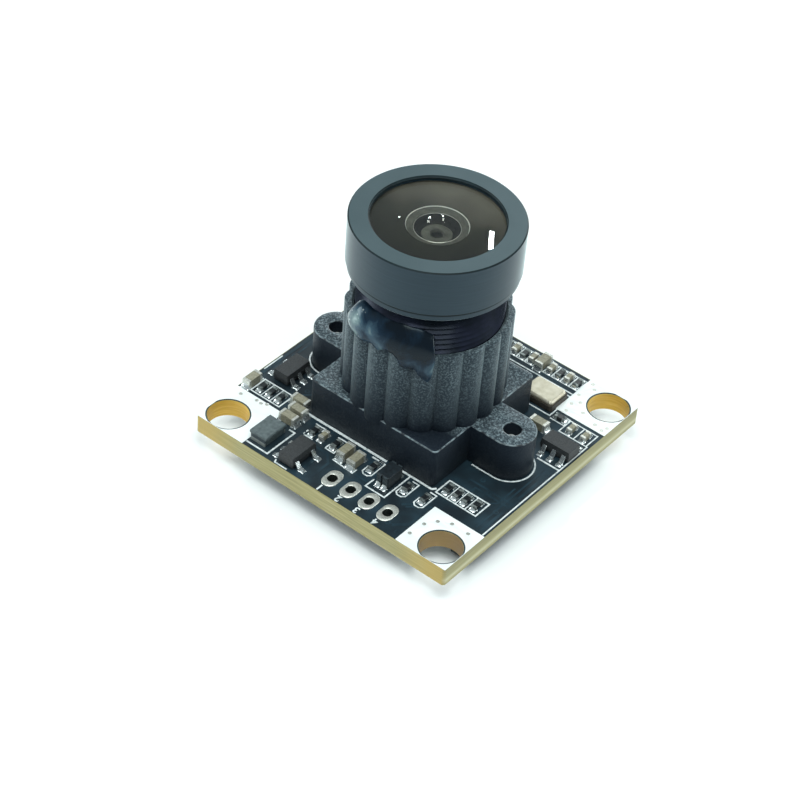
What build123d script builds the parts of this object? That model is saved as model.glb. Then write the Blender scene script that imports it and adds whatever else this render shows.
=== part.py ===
from build123d import *
from math import cos, radians, sin
import os

# A board camera: an M12 lens in a threaded holder on a square circuit board.
# Millimetres, +Z up. The camera stands on z = 0 under the centre of the board,
# on the packages of its underside. +X and +Y run along the board's edges, the
# wire pads lie along the -Y edge, and the holder's two ears lie along X.

os.makedirs("parts", exist_ok=True)

# Circuit board
board_side = 26.0
board_thickness = 1.7
mount_hole_radius = 1.75
mount_hole_inset = 1.85
corner_land_gap = 1.5
land_thickness = 0.05

# Wire pads, four in a row near the front edge
wire_pad_pitch = 1.9
wire_pad_count = 4
wire_pad_first_x = 0.0
wire_pad_inset = 1.9
wire_pad_width = 1.35
wire_pad_length = 2.05
wire_hole_radius = 0.45

# Lens holder
foot_height = 3.75
foot_corner_radius = 0.4
ear_reach = 9.15
ear_radius = 2.0
ear_hole_radius = 0.75
tower_wall = 0.77
tower_overhang = 0.3
tower_height = 11.45
tower_skirt = 0.5
flute_count = 20
flute_depth = 0.4
bore_chamfer = 0.25
sensor_room_side = 10.6
sensor_room_height = 3.0

# Holder screws, driven from under the board
screw_head_radius = 1.5
screw_head_height = 1.0
screw_sink = 0.8
screw_point = 0.5
screw_clearance = 0.2

# Lens barrel, heights above the board's top face
lens_height = 20.0
head_radius = 7.0
head_height = 4.25
head_chamfer = 0.15
shoulder_radius = 6.6
shoulder_height = 0.45
thread_radius = 6.0
thread_low = 4.2
opening_radius = 5.35
glass_shelf_depth = 2.1
front_chamber_radius = 3.3
front_chamber_depth = 4.1
throat_radius = 2.3
throat_length = 3.3
rear_chamber_radius = 4.2
filter_thickness = 0.5

# Glass and rings inside the barrel
glass_top_drop = 0.25
glass_edge_drop = 0.45
well_radius = 2.6
well_depth = 0.8
upper_spacer_height = 0.5
upper_spacer_opening = 1.65
inner_glass_thickness = 0.9
stop_opening = 0.55
rear_glass_thickness = 2.0
rear_retainer_height = 0.9
rear_retainer_wall = 0.8

# Image sensor
sensor_side = 8.4
sensor_height = 1.1
sensor_wall = 0.9
sensor_floor = 0.35
die_side = 5.8
die_thickness = 0.25
sensor_glass_thickness = 0.4

# Adhesive bead, angles from +X, heights above the tower's rim
bead_start_angle = -129.0
bead_end_angle = -51.0
bead_rise = 1.65
bead_swell = 0.2
drip_angle = -56.0
drip_width = 1.1
drip_length = 1.9

# Packages with bent leads: width and length of the moulding, thickness, lead size
package_gap = 0.1
mould_draft = 8.0
five_lead_width = 1.6
five_lead_length = 2.9
five_lead_thickness = 1.0
five_lead_pitch = 0.95
five_lead_reach = 0.6
five_lead_breadth = 0.4
controller_side = 7.0
controller_thickness = 1.4
controller_pitch = 0.8
controller_leads_per_side = 8
controller_lead_reach = 1.0
controller_lead_breadth = 0.35
flash_width = 3.9
flash_length = 4.9
flash_thickness = 1.4
flash_pitch = 1.27
flash_lead_reach = 1.05
flash_lead_breadth = 0.42
lead_thickness = 0.15

# Coils
inductor_width = 1.8
inductor_length = 2.5
inductor_height = 1.0
under_inductor_width = 2.0
under_inductor_length = 2.5
under_inductor_height = 1.2
choke_width = 1.25
choke_length = 2.0
choke_height = 1.2
coil_edge_chamfer = 0.08
coil_flange_thickness = 0.3
coil_waist_inset = 0.15
coil_terminal_thickness = 0.12

# Oscillators in metal-lidded packages
oscillator_length = 3.2
oscillator_width = 2.5
oscillator_base_height = 0.55
oscillator_lid_height = 0.35
oscillator_lid_inset = 0.12
oscillator_corner_chamfer = 0.2
oscillator_lid_bevel = 0.15

# Chip parts
large_chip_length = 1.6
large_chip_width = 0.8
large_chip_height = 0.8
small_chip_length = 1.0
small_chip_width = 0.5
small_chip_height = 0.5
flat_chip_height = 0.35
chip_cap_reach = 0.25
chip_cap_wall = 0.02

# Clearances between pieces that fit into each other
thread_clearance = 0.03
glass_clearance = 0.02
screw_fit = 0.02
land_clearance = 0.01

# Heights that follow from the sizes above
board_low = package_gap + controller_thickness
board_top = board_low + board_thickness
tower_top = board_top + tower_height
lens_top = board_top + lens_height
tower_radius = thread_radius + thread_clearance + tower_wall
foot_side = 2 * (tower_radius - tower_overhang)
board_margin = (board_side - foot_side) / 2
corner_land_side = board_margin - corner_land_gap
mount_hole_offset = board_side / 2 - mount_hole_inset
wire_pad_y = wire_pad_inset - board_side / 2
mount_hole_places = [
    (sx * mount_hole_offset, sy * mount_hole_offset) for sx in (-1, 1) for sy in (-1, 1)
]
wire_pad_places = [
    (wire_pad_first_x + k * wire_pad_pitch, wire_pad_y) for k in range(wire_pad_count)
]
ear_places = [(-ear_reach, 0), (ear_reach, 0)]
screw_radius = ear_hole_radius - screw_fit
large_chip = (large_chip_length, large_chip_width, large_chip_height)
small_chip = (small_chip_length, small_chip_width, small_chip_height)
flat_chip = (small_chip_length, small_chip_width, flat_chip_height)


def along(step):
    """Distance from the lens axis: step 1 is the foot's side and step 2 the board's edge."""
    inner = max(-1, min(1, step))
    return inner * foot_side / 2 + (step - inner) * board_margin


def on_top(x_step, y_step, turn=0):
    """Seat on the board's top face, turned about Z."""
    return Location((along(x_step), along(y_step), board_top), (0, 0, turn))


def under(x_step, y_step, turn=0):
    """Seat on the board's underside, with the part upside down."""
    return Location((along(x_step), along(y_step), board_low), (180, 0, turn))


# Seats of the parts on the board, in steps along X and Y
regulator_seats = [on_top(-0.569, -1.715), on_top(-1.638, -0.6, 180), on_top(1.746, 0.615, 90)]
controller_seat = under(-0.077, 0.231)
flash_seat = under(-0.708, -1.323, 90)
inductor_seat = Location(
    (land_clearance + (inductor_width - board_side) / 2 + corner_land_side, along(-1.669), board_top)
)
under_inductor_seat = under(1.746, -1.138)
choke_seat = on_top(0.531, -1.262)
oscillator_seats = [on_top(0.985, 1.308), under(-1.415, 0.954)]
large_chip_seats = [
    on_top(-0.154, -1.277, 90),
    on_top(0.038, -1.308, 90),
    on_top(-1.077, -1.115),
    on_top(-1.077, -1.292),
    on_top(-1.169, -0.962),
    on_top(-1.9, -1.062, 90),
    on_top(1.285, 0.8),
    on_top(0.6, 1.8, 90),
    under(0.646, -0.954),
    under(0.646, -1.138),
    under(1.138, 0.708, 90),
]
small_chip_seats = [on_top(-0.554, -1.223, 90), on_top(1.631, 1.031, 90), on_top(1.846, 1.031, 90)]
small_chip_seats += [on_top(x, 1.8, 90) for x in (-0.123, 0.169, 0.446, 0.746, 1.023)]
small_chip_seats += [under(x, 1.292, 90) for x in (-0.615, -0.4, 0.185, 0.4)]
flat_chip_seats = [on_top(x, -1.223, 90) for x in (-0.708, -0.354, 0.246, 0.785, 1.062)]
flat_chip_seats += [on_top(x, -1.038, 90) for x in (-1.738, -1.585, -1.431)]
flat_chip_seats += [on_top(x, -0.885, 90) for x in (1.169, 1.308, 1.446, 1.6)]
flat_chip_seats += [on_top(x, 1.8, 90) for x in (0.031, 0.308, 0.885, 1.162)]
flat_chip_seats += [on_top(1.4, 1.108), on_top(-1.631, 0.831, 90), on_top(-1.446, 0.831, 90)]
flat_chip_seats += [under(1.062, y) for y in (-0.4, -0.569, -0.738)]


def polar(radius, angle):
    """Point at a radius and an angle in degrees from +X."""
    return (radius * cos(radians(angle)), radius * sin(radians(angle)))


def both_sides(half_width, right_rows, left_rows):
    """Lead roots on the two long sides of a package."""
    right = [Location((half_width, y, 0)) for y in right_rows]
    left = [Location((-half_width, y, 0), (0, 0, 180)) for y in left_rows]
    return right + left


def centred_row(count, pitch):
    """Offsets of a row of leads about its middle."""
    return [(k - (count - 1) / 2) * pitch for k in range(count)]


def moulded_body(width, length, thickness):
    """Package body drafted both ways from its parting line, a small gap above its seat."""
    middle = package_gap + thickness / 2
    with BuildPart() as body:
        for upward in (1, -1):
            with BuildSketch(Plane(origin=(0, 0, middle), x_dir=(1, 0, 0), z_dir=(0, 0, upward))):
                Rectangle(width, length)
            extrude(amount=thickness / 2, taper=mould_draft)
    return body.part


def bent_lead(reach, breadth, body_thickness):
    """Gull-wing lead that slopes down from the body's parting line and ends in a flat foot."""
    root = package_gap + body_thickness / 2
    heel = 0.55 * reach
    with BuildPart() as lead:
        with BuildSketch(Plane.XZ):
            with BuildLine():
                Polyline(
                    (0, root - lead_thickness / 2),
                    (heel - lead_thickness, 0),
                    (reach, 0),
                    (reach, lead_thickness),
                    (heel, lead_thickness),
                    (0, root + lead_thickness / 2),
                    close=True,
                )
            make_face()
        extrude(amount=breadth / 2, both=True)
    return lead.part


def chip_body(size):
    """Ceramic block of a chip part, a little slimmer than its metal ends."""
    length, width, height = size
    with BuildPart() as body:
        Box(
            length - 2 * chip_cap_reach,
            width - 2 * chip_cap_wall,
            height - chip_cap_wall,
            align=(Align.CENTER, Align.CENTER, Align.MIN),
        )
    return body.part


def chip_ends(size):
    """The two metal ends of a chip part."""
    length, width, height = size
    with BuildPart() as ends:
        with Locations(*[(s * (length - chip_cap_reach) / 2, 0, 0) for s in (-1, 1)]):
            Box(chip_cap_reach, width, height, align=(Align.CENTER, Align.CENTER, Align.MIN))
    return ends.part


def coil_body(width, length, height):
    """Core of a coil between its two end terminals."""
    with BuildPart() as body:
        Box(
            width,
            length - 2 * coil_terminal_thickness,
            height,
            align=(Align.CENTER, Align.CENTER, Align.MIN),
        )
        chamfer(body.edges().filter_by(Axis.Z), coil_edge_chamfer)
    return body.part


def drum_core(width, length, height):
    """Core of a power inductor: a waist under a wider top flange."""
    waist_height = height - coil_flange_thickness
    with BuildPart() as core:
        Box(
            width - 2 * coil_waist_inset,
            length - 2 * coil_terminal_thickness,
            waist_height,
            align=(Align.CENTER, Align.CENTER, Align.MIN),
        )
        with Locations((0, 0, waist_height)):
            Box(
                width,
                length,
                coil_flange_thickness,
                align=(Align.CENTER, Align.CENTER, Align.MIN),
            )
        chamfer(core.faces().sort_by(Axis.Z)[-1].edges(), coil_edge_chamfer)
    return core.part


def coil_terminals(width, coil_length, height):
    """Plate terminals over the two ends of a coil."""
    with BuildPart() as ends:
        with Locations(*[(0, s * (coil_length - coil_terminal_thickness) / 2, 0) for s in (-1, 1)]):
            Box(
                width,
                coil_terminal_thickness,
                height,
                align=(Align.CENTER, Align.CENTER, Align.MIN),
            )
    return ends.part


def oscillator_base():
    """Ceramic tray of an oscillator."""
    with BuildPart() as base:
        Box(
            oscillator_length,
            oscillator_width,
            oscillator_base_height,
            align=(Align.CENTER, Align.CENTER, Align.MIN),
        )
        chamfer(base.edges().filter_by(Axis.Z), oscillator_corner_chamfer)
    return base.part


def oscillator_lid():
    """Drawn metal lid with a bevelled rim."""
    with BuildPart() as lid:
        with Locations((0, 0, oscillator_base_height)):
            Box(
                oscillator_length - 2 * oscillator_lid_inset,
                oscillator_width - 2 * oscillator_lid_inset,
                oscillator_lid_height,
                align=(Align.CENTER, Align.CENTER, Align.MIN),
            )
        chamfer(lid.edges().filter_by(Axis.Z), oscillator_corner_chamfer)
        chamfer(lid.faces().sort_by(Axis.Z)[-1].edges(), oscillator_lid_bevel)
    return lid.part


def plain_ring(outer, inner, low, height):
    """Ring about the lens axis."""
    with BuildPart() as ring:
        with BuildSketch(Plane.XY.offset(low)):
            Circle(outer)
            Circle(inner, mode=Mode.SUBTRACT)
        extrude(amount=height)
    return ring.part


# Circuit board
with BuildPart() as circuit_board:
    with BuildSketch(Plane.XY.offset(board_low)):
        Rectangle(board_side, board_side)
        with Locations(*mount_hole_places):
            Circle(mount_hole_radius, mode=Mode.SUBTRACT)
        with Locations(*wire_pad_places):
            Circle(wire_hole_radius, mode=Mode.SUBTRACT)
        with Locations(*ear_places):
            Circle(screw_radius + screw_clearance, mode=Mode.SUBTRACT)
    extrude(amount=board_thickness)

circuit_board.part.label = "circuit_board"
export_step(circuit_board.part, "parts/circuit_board.step")


# Bare tinned squares round the mounting holes
with BuildPart() as corner_lands:
    with BuildSketch(Plane.XY.offset(board_top)):
        with GridLocations(board_side - corner_land_side, board_side - corner_land_side, 2, 2):
            Rectangle(corner_land_side, corner_land_side)
        with Locations(*mount_hole_places):
            Circle(mount_hole_radius, mode=Mode.SUBTRACT)
    extrude(amount=land_thickness)

corner_lands.part.label = "corner_lands"
export_step(corner_lands.part, "parts/corner_lands.step")


# Oval pads round the wire holes
with BuildPart() as wire_pads:
    with BuildSketch(Plane.XY.offset(board_top)):
        with Locations(*wire_pad_places):
            SlotOverall(wire_pad_length, wire_pad_width, rotation=90)
            Circle(wire_hole_radius, mode=Mode.SUBTRACT)
    extrude(amount=land_thickness)

wire_pads.part.label = "wire_pads"
export_step(wire_pads.part, "parts/wire_pads.step")


# Lens holder: square foot with two ears, and a fluted tower bored for the lens thread
with BuildPart() as lens_holder:
    with BuildSketch(Plane.XY.offset(board_top)):
        RectangleRounded(foot_side, foot_side, foot_corner_radius)
        SlotCenterToCenter(2 * ear_reach, 2 * ear_radius)
    extrude(amount=foot_height)
    flute_step = 360 / flute_count
    valley_radius = tower_radius - flute_depth
    with BuildSketch(Plane.XY.offset(board_top + foot_height - tower_skirt)):
        with BuildLine():
            for flute in range(flute_count):
                crest = flute * flute_step
                ThreePointArc(
                    polar(valley_radius, crest - flute_step / 2),
                    polar(tower_radius, crest),
                    polar(valley_radius, crest + flute_step / 2),
                )
        make_face()
    extrude(amount=tower_height - foot_height + tower_skirt)
    with BuildSketch(Plane.XY.offset(board_top)):
        Rectangle(sensor_room_side, sensor_room_side)
    extrude(amount=sensor_room_height, mode=Mode.SUBTRACT)
    with Locations((0, 0, tower_top)):
        Hole(thread_radius + thread_clearance)
    with Locations(*[(x, y, board_top + foot_height) for x, y in ear_places]):
        Hole(ear_hole_radius)
    mouth = lens_holder.edges().filter_by(GeomType.CIRCLE).group_by(Axis.Z)[-1]
    chamfer(mouth.sort_by(SortBy.RADIUS)[0], bore_chamfer)

lens_holder.part.label = "lens_holder"
export_step(lens_holder.part, "parts/lens_holder.step")


# Screws that hold the ears down, driven from under the board
with BuildPart() as holder_screw:
    screw_tip = board_top + foot_height - screw_sink
    head_low = board_low - screw_head_height
    with BuildSketch(Plane.XZ):
        with BuildLine():
            Polyline(
                (0, head_low),
                (screw_head_radius, head_low),
                (screw_head_radius, board_low),
                (screw_radius, board_low),
                (screw_radius, screw_tip - screw_point),
                (0, screw_tip),
                close=True,
            )
        make_face()
    revolve(axis=Axis.Z)

with BuildPart() as holder_screws:
    with Locations(*ear_places):
        add(holder_screw.part)

holder_screws.part.label = "holder_screws"
export_step(holder_screws.part, "parts/holder_screws.step")


# Lens barrel: head, shoulder and thread outside, stepped chambers inside
glass_shelf = lens_top - glass_shelf_depth
front_floor = lens_top - front_chamber_depth
rear_ceiling = front_floor - throat_length
barrel_low = board_top + thread_low
head_low_edge = lens_top - head_height
shoulder_low = head_low_edge - shoulder_height
with BuildPart() as lens_barrel:
    with BuildSketch(Plane.XZ):
        with BuildLine():
            Polyline(
                (opening_radius, lens_top),
                (head_radius - head_chamfer, lens_top),
                (head_radius, lens_top - head_chamfer),
                (head_radius, head_low_edge),
                (shoulder_radius, shoulder_low),
                (thread_radius, shoulder_low),
                (thread_radius, barrel_low),
                (rear_chamber_radius, barrel_low),
                (rear_chamber_radius, rear_ceiling),
                (throat_radius, rear_ceiling),
                (throat_radius, front_floor),
                (front_chamber_radius, front_floor),
                (front_chamber_radius, glass_shelf),
                (opening_radius, glass_shelf),
                close=True,
            )
        make_face()
    revolve(axis=Axis.Z)

lens_barrel.part.label = "lens_barrel"
export_step(lens_barrel.part, "parts/lens_barrel.step")


# Front glass, domed just under the rim by a large sphere, with a round well in its rear
with BuildPart() as front_glass:
    glass_top = lens_top - glass_top_drop
    glass_radius = opening_radius - glass_clearance
    dome_rise = glass_edge_drop - glass_top_drop
    dome_radius = (glass_radius**2 + dome_rise**2) / (2 * dome_rise)
    with BuildSketch(Plane.XY.offset(glass_shelf)):
        Circle(glass_radius)
    extrude(amount=glass_top - glass_shelf)
    with BuildSketch(Plane.XY.offset(glass_shelf)):
        Circle(well_radius)
    extrude(amount=well_depth, mode=Mode.SUBTRACT)
    with Locations(Location((0, 0, glass_top - dome_radius), (90, 0, 0))):
        Sphere(dome_radius, mode=Mode.INTERSECT)

front_glass.part.label = "front_glass"
export_step(front_glass.part, "parts/front_glass.step")


# The front chamber is stacked from the shelf under the front glass down to its floor
front_fit = front_chamber_radius - glass_clearance
upper_spacer_low = glass_shelf - upper_spacer_height
inner_glass_low = upper_spacer_low - inner_glass_thickness

with BuildPart() as upper_spacer:
    add(plain_ring(front_fit, upper_spacer_opening, upper_spacer_low, upper_spacer_height))

upper_spacer.part.label = "upper_spacer"
export_step(upper_spacer.part, "parts/upper_spacer.step")


with BuildPart() as inner_glass:
    with BuildSketch(Plane.XY.offset(inner_glass_low)):
        Circle(front_fit)
    extrude(amount=inner_glass_thickness)

inner_glass.part.label = "inner_glass"
export_step(inner_glass.part, "parts/inner_glass.step")


# Aperture stop, a thick disc on the chamber's floor with the small round opening
with BuildPart() as aperture_stop:
    add(plain_ring(front_fit, stop_opening, front_floor, inner_glass_low - front_floor))

aperture_stop.part.label = "aperture_stop"
export_step(aperture_stop.part, "parts/aperture_stop.step")


# The rear chamber holds the rear glass under its ceiling, closed by the retainer and the filter
rear_fit = rear_chamber_radius - glass_clearance
rear_glass_low = rear_ceiling - rear_glass_thickness
rear_retainer_low = rear_glass_low - rear_retainer_height

with BuildPart() as rear_glass:
    with BuildSketch(Plane.XY.offset(rear_glass_low)):
        Circle(rear_fit)
    extrude(amount=rear_glass_thickness)

rear_glass.part.label = "rear_glass"
export_step(rear_glass.part, "parts/rear_glass.step")


with BuildPart() as rear_retainer:
    add(
        plain_ring(
            rear_fit, rear_fit - rear_retainer_wall, rear_retainer_low, rear_retainer_height
        )
    )

rear_retainer.part.label = "rear_retainer"
export_step(rear_retainer.part, "parts/rear_retainer.step")


with BuildPart() as infrared_filter:
    with BuildSketch(Plane.XY.offset(rear_retainer_low - filter_thickness)):
        Circle(rear_fit)
    extrude(amount=filter_thickness)

infrared_filter.part.label = "infrared_filter"
export_step(infrared_filter.part, "parts/infrared_filter.step")


# Image sensor: a walled tray, the die on its floor and a cover glass on its walls
with BuildPart() as sensor_package:
    with BuildSketch(Plane.XY.offset(board_top)):
        Rectangle(sensor_side, sensor_side)
    extrude(amount=sensor_height)
    with BuildSketch(Plane.XY.offset(board_top + sensor_floor)):
        Rectangle(sensor_side - 2 * sensor_wall, sensor_side - 2 * sensor_wall)
    extrude(amount=sensor_height - sensor_floor, mode=Mode.SUBTRACT)

sensor_package.part.label = "sensor_package"
export_step(sensor_package.part, "parts/sensor_package.step")


with BuildPart() as sensor_die:
    with BuildSketch(Plane.XY.offset(board_top + sensor_floor)):
        Rectangle(die_side, die_side)
    extrude(amount=die_thickness)

sensor_die.part.label = "sensor_die"
export_step(sensor_die.part, "parts/sensor_die.step")


with BuildPart() as sensor_glass:
    with BuildSketch(Plane.XY.offset(board_top + sensor_height)):
        Rectangle(sensor_side - sensor_wall, sensor_side - sensor_wall)
    extrude(amount=sensor_glass_thickness)

sensor_glass.part.label = "sensor_glass"
export_step(sensor_glass.part, "parts/sensor_glass.step")


# Adhesive bead in the corner between thread and rim, with a drip down the crests
bead_plane = Plane(
    origin=(0, 0, tower_top),
    x_dir=(*polar(1, bead_start_angle), 0),
    z_dir=(*polar(1, bead_start_angle - 90), 0),
)
bead_outer = tower_radius + bead_swell
drip_plane = Plane(
    origin=(*polar(bead_outer, drip_angle), tower_top),
    x_dir=(*polar(1, drip_angle + 90), 0),
    z_dir=(*polar(1, drip_angle), 0),
)
with BuildPart() as adhesive_bead:
    with BuildSketch(bead_plane):
        with BuildLine():
            Polyline(
                (thread_radius, 0),
                (thread_radius, bead_rise),
                (tower_radius, 0.55 * bead_rise),
                (bead_outer, 0),
                close=True,
            )
        make_face()
    revolve(axis=Axis.Z, revolution_arc=bead_end_angle - bead_start_angle)
    with BuildSketch(drip_plane):
        with Locations((0, -drip_length / 2)):
            SlotOverall(drip_length + drip_width, drip_width, rotation=90)
    extrude(amount=-bead_swell)

adhesive_bead.part.label = "adhesive_bead"
export_step(adhesive_bead.part, "parts/adhesive_bead.step")


# Five-lead regulators: black bodies, and their leads as one group
five_lead_rows = both_sides(
    five_lead_width / 2, [-five_lead_pitch, five_lead_pitch], centred_row(3, five_lead_pitch)
)
with BuildPart() as regulator_bodies:
    with Locations(*regulator_seats):
        add(moulded_body(five_lead_width, five_lead_length, five_lead_thickness))

regulator_bodies.part.label = "regulator_bodies"
export_step(regulator_bodies.part, "parts/regulator_bodies.step")


with BuildPart() as regulator_leads:
    with Locations(*[seat * row for seat in regulator_seats for row in five_lead_rows]):
        add(bent_lead(five_lead_reach, five_lead_breadth, five_lead_thickness))

regulator_leads.part.label = "regulator_leads"
export_step(regulator_leads.part, "parts/regulator_leads.step")


# Controller under the board, with leads on four sides
controller_rows = [
    Location((0, 0, 0), (0, 0, turn)) * Location((controller_side / 2, offset, 0))
    for turn in (0, 90, 180, 270)
    for offset in centred_row(controller_leads_per_side, controller_pitch)
]
with BuildPart() as controller_body:
    with Locations(controller_seat):
        add(moulded_body(controller_side, controller_side, controller_thickness))

controller_body.part.label = "controller_body"
export_step(controller_body.part, "parts/controller_body.step")


with BuildPart() as controller_leads:
    with Locations(*[controller_seat * row for row in controller_rows]):
        add(bent_lead(controller_lead_reach, controller_lead_breadth, controller_thickness))

controller_leads.part.label = "controller_leads"
export_step(controller_leads.part, "parts/controller_leads.step")


# Flash memory under the board
flash_rows = both_sides(flash_width / 2, centred_row(4, flash_pitch), centred_row(4, flash_pitch))
with BuildPart() as flash_body:
    with Locations(flash_seat):
        add(moulded_body(flash_width, flash_length, flash_thickness))

flash_body.part.label = "flash_body"
export_step(flash_body.part, "parts/flash_body.step")


with BuildPart() as flash_leads:
    with Locations(*[flash_seat * row for row in flash_rows]):
        add(bent_lead(flash_lead_reach, flash_lead_breadth, flash_thickness))

flash_leads.part.label = "flash_leads"
export_step(flash_leads.part, "parts/flash_leads.step")


# Coils: two power inductors and the common-mode choke, with their end plates
with BuildPart() as power_inductor:
    with Locations(inductor_seat):
        add(drum_core(inductor_width, inductor_length, inductor_height))

power_inductor.part.label = "power_inductor"
export_step(power_inductor.part, "parts/power_inductor.step")


with BuildPart() as under_inductor:
    with Locations(under_inductor_seat):
        add(drum_core(under_inductor_width, under_inductor_length, under_inductor_height))

under_inductor.part.label = "under_inductor"
export_step(under_inductor.part, "parts/under_inductor.step")


with BuildPart() as common_mode_choke:
    with Locations(choke_seat):
        add(coil_body(choke_width, choke_length, choke_height))

common_mode_choke.part.label = "common_mode_choke"
export_step(common_mode_choke.part, "parts/common_mode_choke.step")


drum_coils = [
    (inductor_seat, inductor_width, inductor_length, inductor_height),
    (under_inductor_seat, under_inductor_width, under_inductor_length, under_inductor_height),
]
with BuildPart() as coil_end_plates:
    for seat, width, length, height in drum_coils:
        with Locations(seat):
            add(
                coil_terminals(
                    width - 2 * coil_waist_inset, length, height - coil_flange_thickness
                )
            )
    with Locations(*[choke_seat * Location((s * choke_width / 4, 0, 0)) for s in (-1, 1)]):
        add(coil_terminals(choke_width / 3, choke_length, choke_height))

coil_end_plates.part.label = "coil_end_plates"
export_step(coil_end_plates.part, "parts/coil_end_plates.step")


# Oscillators: ceramic trays and metal lids
with BuildPart() as oscillator_bases:
    with Locations(*oscillator_seats):
        add(oscillator_base())

oscillator_bases.part.label = "oscillator_bases"
export_step(oscillator_bases.part, "parts/oscillator_bases.step")


with BuildPart() as oscillator_lids:
    with Locations(*oscillator_seats):
        add(oscillator_lid())

oscillator_lids.part.label = "oscillator_lids"
export_step(oscillator_lids.part, "parts/oscillator_lids.step")


# Chip parts: ceramic blocks by kind, and all the metal ends of a kind together
with BuildPart() as large_capacitors:
    with Locations(*large_chip_seats):
        add(chip_body(large_chip))

large_capacitors.part.label = "large_capacitors"
export_step(large_capacitors.part, "parts/large_capacitors.step")


with BuildPart() as large_capacitor_ends:
    with Locations(*large_chip_seats):
        add(chip_ends(large_chip))

large_capacitor_ends.part.label = "large_capacitor_ends"
export_step(large_capacitor_ends.part, "parts/large_capacitor_ends.step")


with BuildPart() as small_capacitors:
    with Locations(*small_chip_seats):
        add(chip_body(small_chip))

small_capacitors.part.label = "small_capacitors"
export_step(small_capacitors.part, "parts/small_capacitors.step")


with BuildPart() as small_capacitor_ends:
    with Locations(*small_chip_seats):
        add(chip_ends(small_chip))

small_capacitor_ends.part.label = "small_capacitor_ends"
export_step(small_capacitor_ends.part, "parts/small_capacitor_ends.step")


with BuildPart() as chip_resistors:
    with Locations(*flat_chip_seats):
        add(chip_body(flat_chip))

chip_resistors.part.label = "chip_resistors"
export_step(chip_resistors.part, "parts/chip_resistors.step")


with BuildPart() as chip_resistor_ends:
    with Locations(*flat_chip_seats):
        add(chip_ends(flat_chip))

chip_resistor_ends.part.label = "chip_resistor_ends"
export_step(chip_resistor_ends.part, "parts/chip_resistor_ends.step")
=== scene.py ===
from math import atan2, cos, exp, hypot, pi, radians, sin, sqrt

import bmesh
import bpy
from mathutils import Matrix, Vector, noise


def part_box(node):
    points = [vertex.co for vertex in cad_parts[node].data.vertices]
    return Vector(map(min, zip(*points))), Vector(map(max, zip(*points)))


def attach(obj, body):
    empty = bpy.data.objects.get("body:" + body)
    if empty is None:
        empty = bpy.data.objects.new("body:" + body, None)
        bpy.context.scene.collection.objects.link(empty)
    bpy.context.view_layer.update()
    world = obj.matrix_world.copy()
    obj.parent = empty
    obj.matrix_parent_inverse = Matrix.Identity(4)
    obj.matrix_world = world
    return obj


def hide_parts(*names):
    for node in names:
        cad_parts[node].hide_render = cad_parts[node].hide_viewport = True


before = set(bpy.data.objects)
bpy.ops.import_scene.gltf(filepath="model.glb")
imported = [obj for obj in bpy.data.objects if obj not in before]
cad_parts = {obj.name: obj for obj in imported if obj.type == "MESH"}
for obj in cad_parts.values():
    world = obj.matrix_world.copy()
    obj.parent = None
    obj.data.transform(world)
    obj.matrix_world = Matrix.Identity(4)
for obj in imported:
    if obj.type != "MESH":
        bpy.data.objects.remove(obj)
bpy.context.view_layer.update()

# Lengths below are millimetres in the frame's own axes, turned to metres as a mesh is made
MM = 0.001


def span(node_name):
    """Lowest and highest corner of a CAD node, in millimetres."""
    low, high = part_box(node_name)
    return low / MM, high / MM


board_low, board_top = (corner.z for corner in span("circuit_board"))
board_half = span("circuit_board")[1].x
tower_top = span("lens_holder")[1].z
lens_low, lens_top = (corner.z for corner in span("lens_barrel"))
foot_top = board_top + 3.75

# What lies on the board, by its height above the laminate's faces
mask_skin = 0.02
land_rise = 0.03
print_rise = 0.015
track_rise = 0.008
via_rise = 0.016

# Holes through the board, and the bores and rounds of the holder and the barrel
hole_radius, hole_places = 1.75, [(sx * 11.15, sy * 11.15) for sx in (-1, 1) for sy in (-1, 1)]
wire_hole_radius, wire_places = 0.45, [(1.9 * k, -11.1) for k in range(4)]
screw_bore_radius, ear_places = 0.93, [(-9.15, 0), (9.15, 0)]
ear_radius = 2.0
holder_bore = 6.03
lobe_ring, lobe_radius = 5.5138, 1.2862
thread_radius = 6.0
head_radius = 7.0
glass_radius = 5.33


# Finishes


def linear(hex_colour):
    """sRGB hex to linear red, green, blue and a full alpha."""
    channels = [int(hex_colour[k : k + 2], 16) / 255 for k in (1, 3, 5)]
    return tuple(c / 12.92 if c <= 0.04045 else ((c + 0.055) / 1.055) ** 2.4 for c in channels) + (1,)


def add(tree, kind, values=None, stops=None, **settings):
    """Adds one node: values and links by socket, settings by property, a ramp's stops by place."""
    made = tree.nodes.new(kind)
    for name, value in settings.items():
        setattr(made, name, value)
    for socket, value in (values or {}).items():
        if isinstance(value, bpy.types.NodeSocket):
            tree.links.new(value, made.inputs[socket])
        else:
            made.inputs[socket].default_value = value
    if stops:
        ramp = made.color_ramp.elements
        ramp[0].position, ramp[0].color = stops[0][0], linear(stops[0][1])
        ramp[1].position, ramp[1].color = stops[-1][0], linear(stops[-1][1])
        for place, colour in stops[1:-1]:
            ramp.new(place).color = linear(colour)
    return made


def finish(name, colour, **sockets):
    """Starts a material: its tree, its shader with uniform values set, and the place on the object."""
    made = bpy.data.materials.new(name)
    made.use_nodes = True
    made.diffuse_color = linear(colour)
    tree = made.node_tree
    shader = tree.nodes["Principled BSDF"]
    shader.inputs["Base Color"].default_value = linear(colour)
    for socket, value in sockets.items():
        shader.inputs[socket.replace("_", " ")].default_value = value
    return made, tree, shader, add(tree, "ShaderNodeTexCoord").outputs["Object"]


def per(millimetres):
    """Texture scale at which one cell of the pattern is this long."""
    return 1 / (millimetres * MM)


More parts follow.
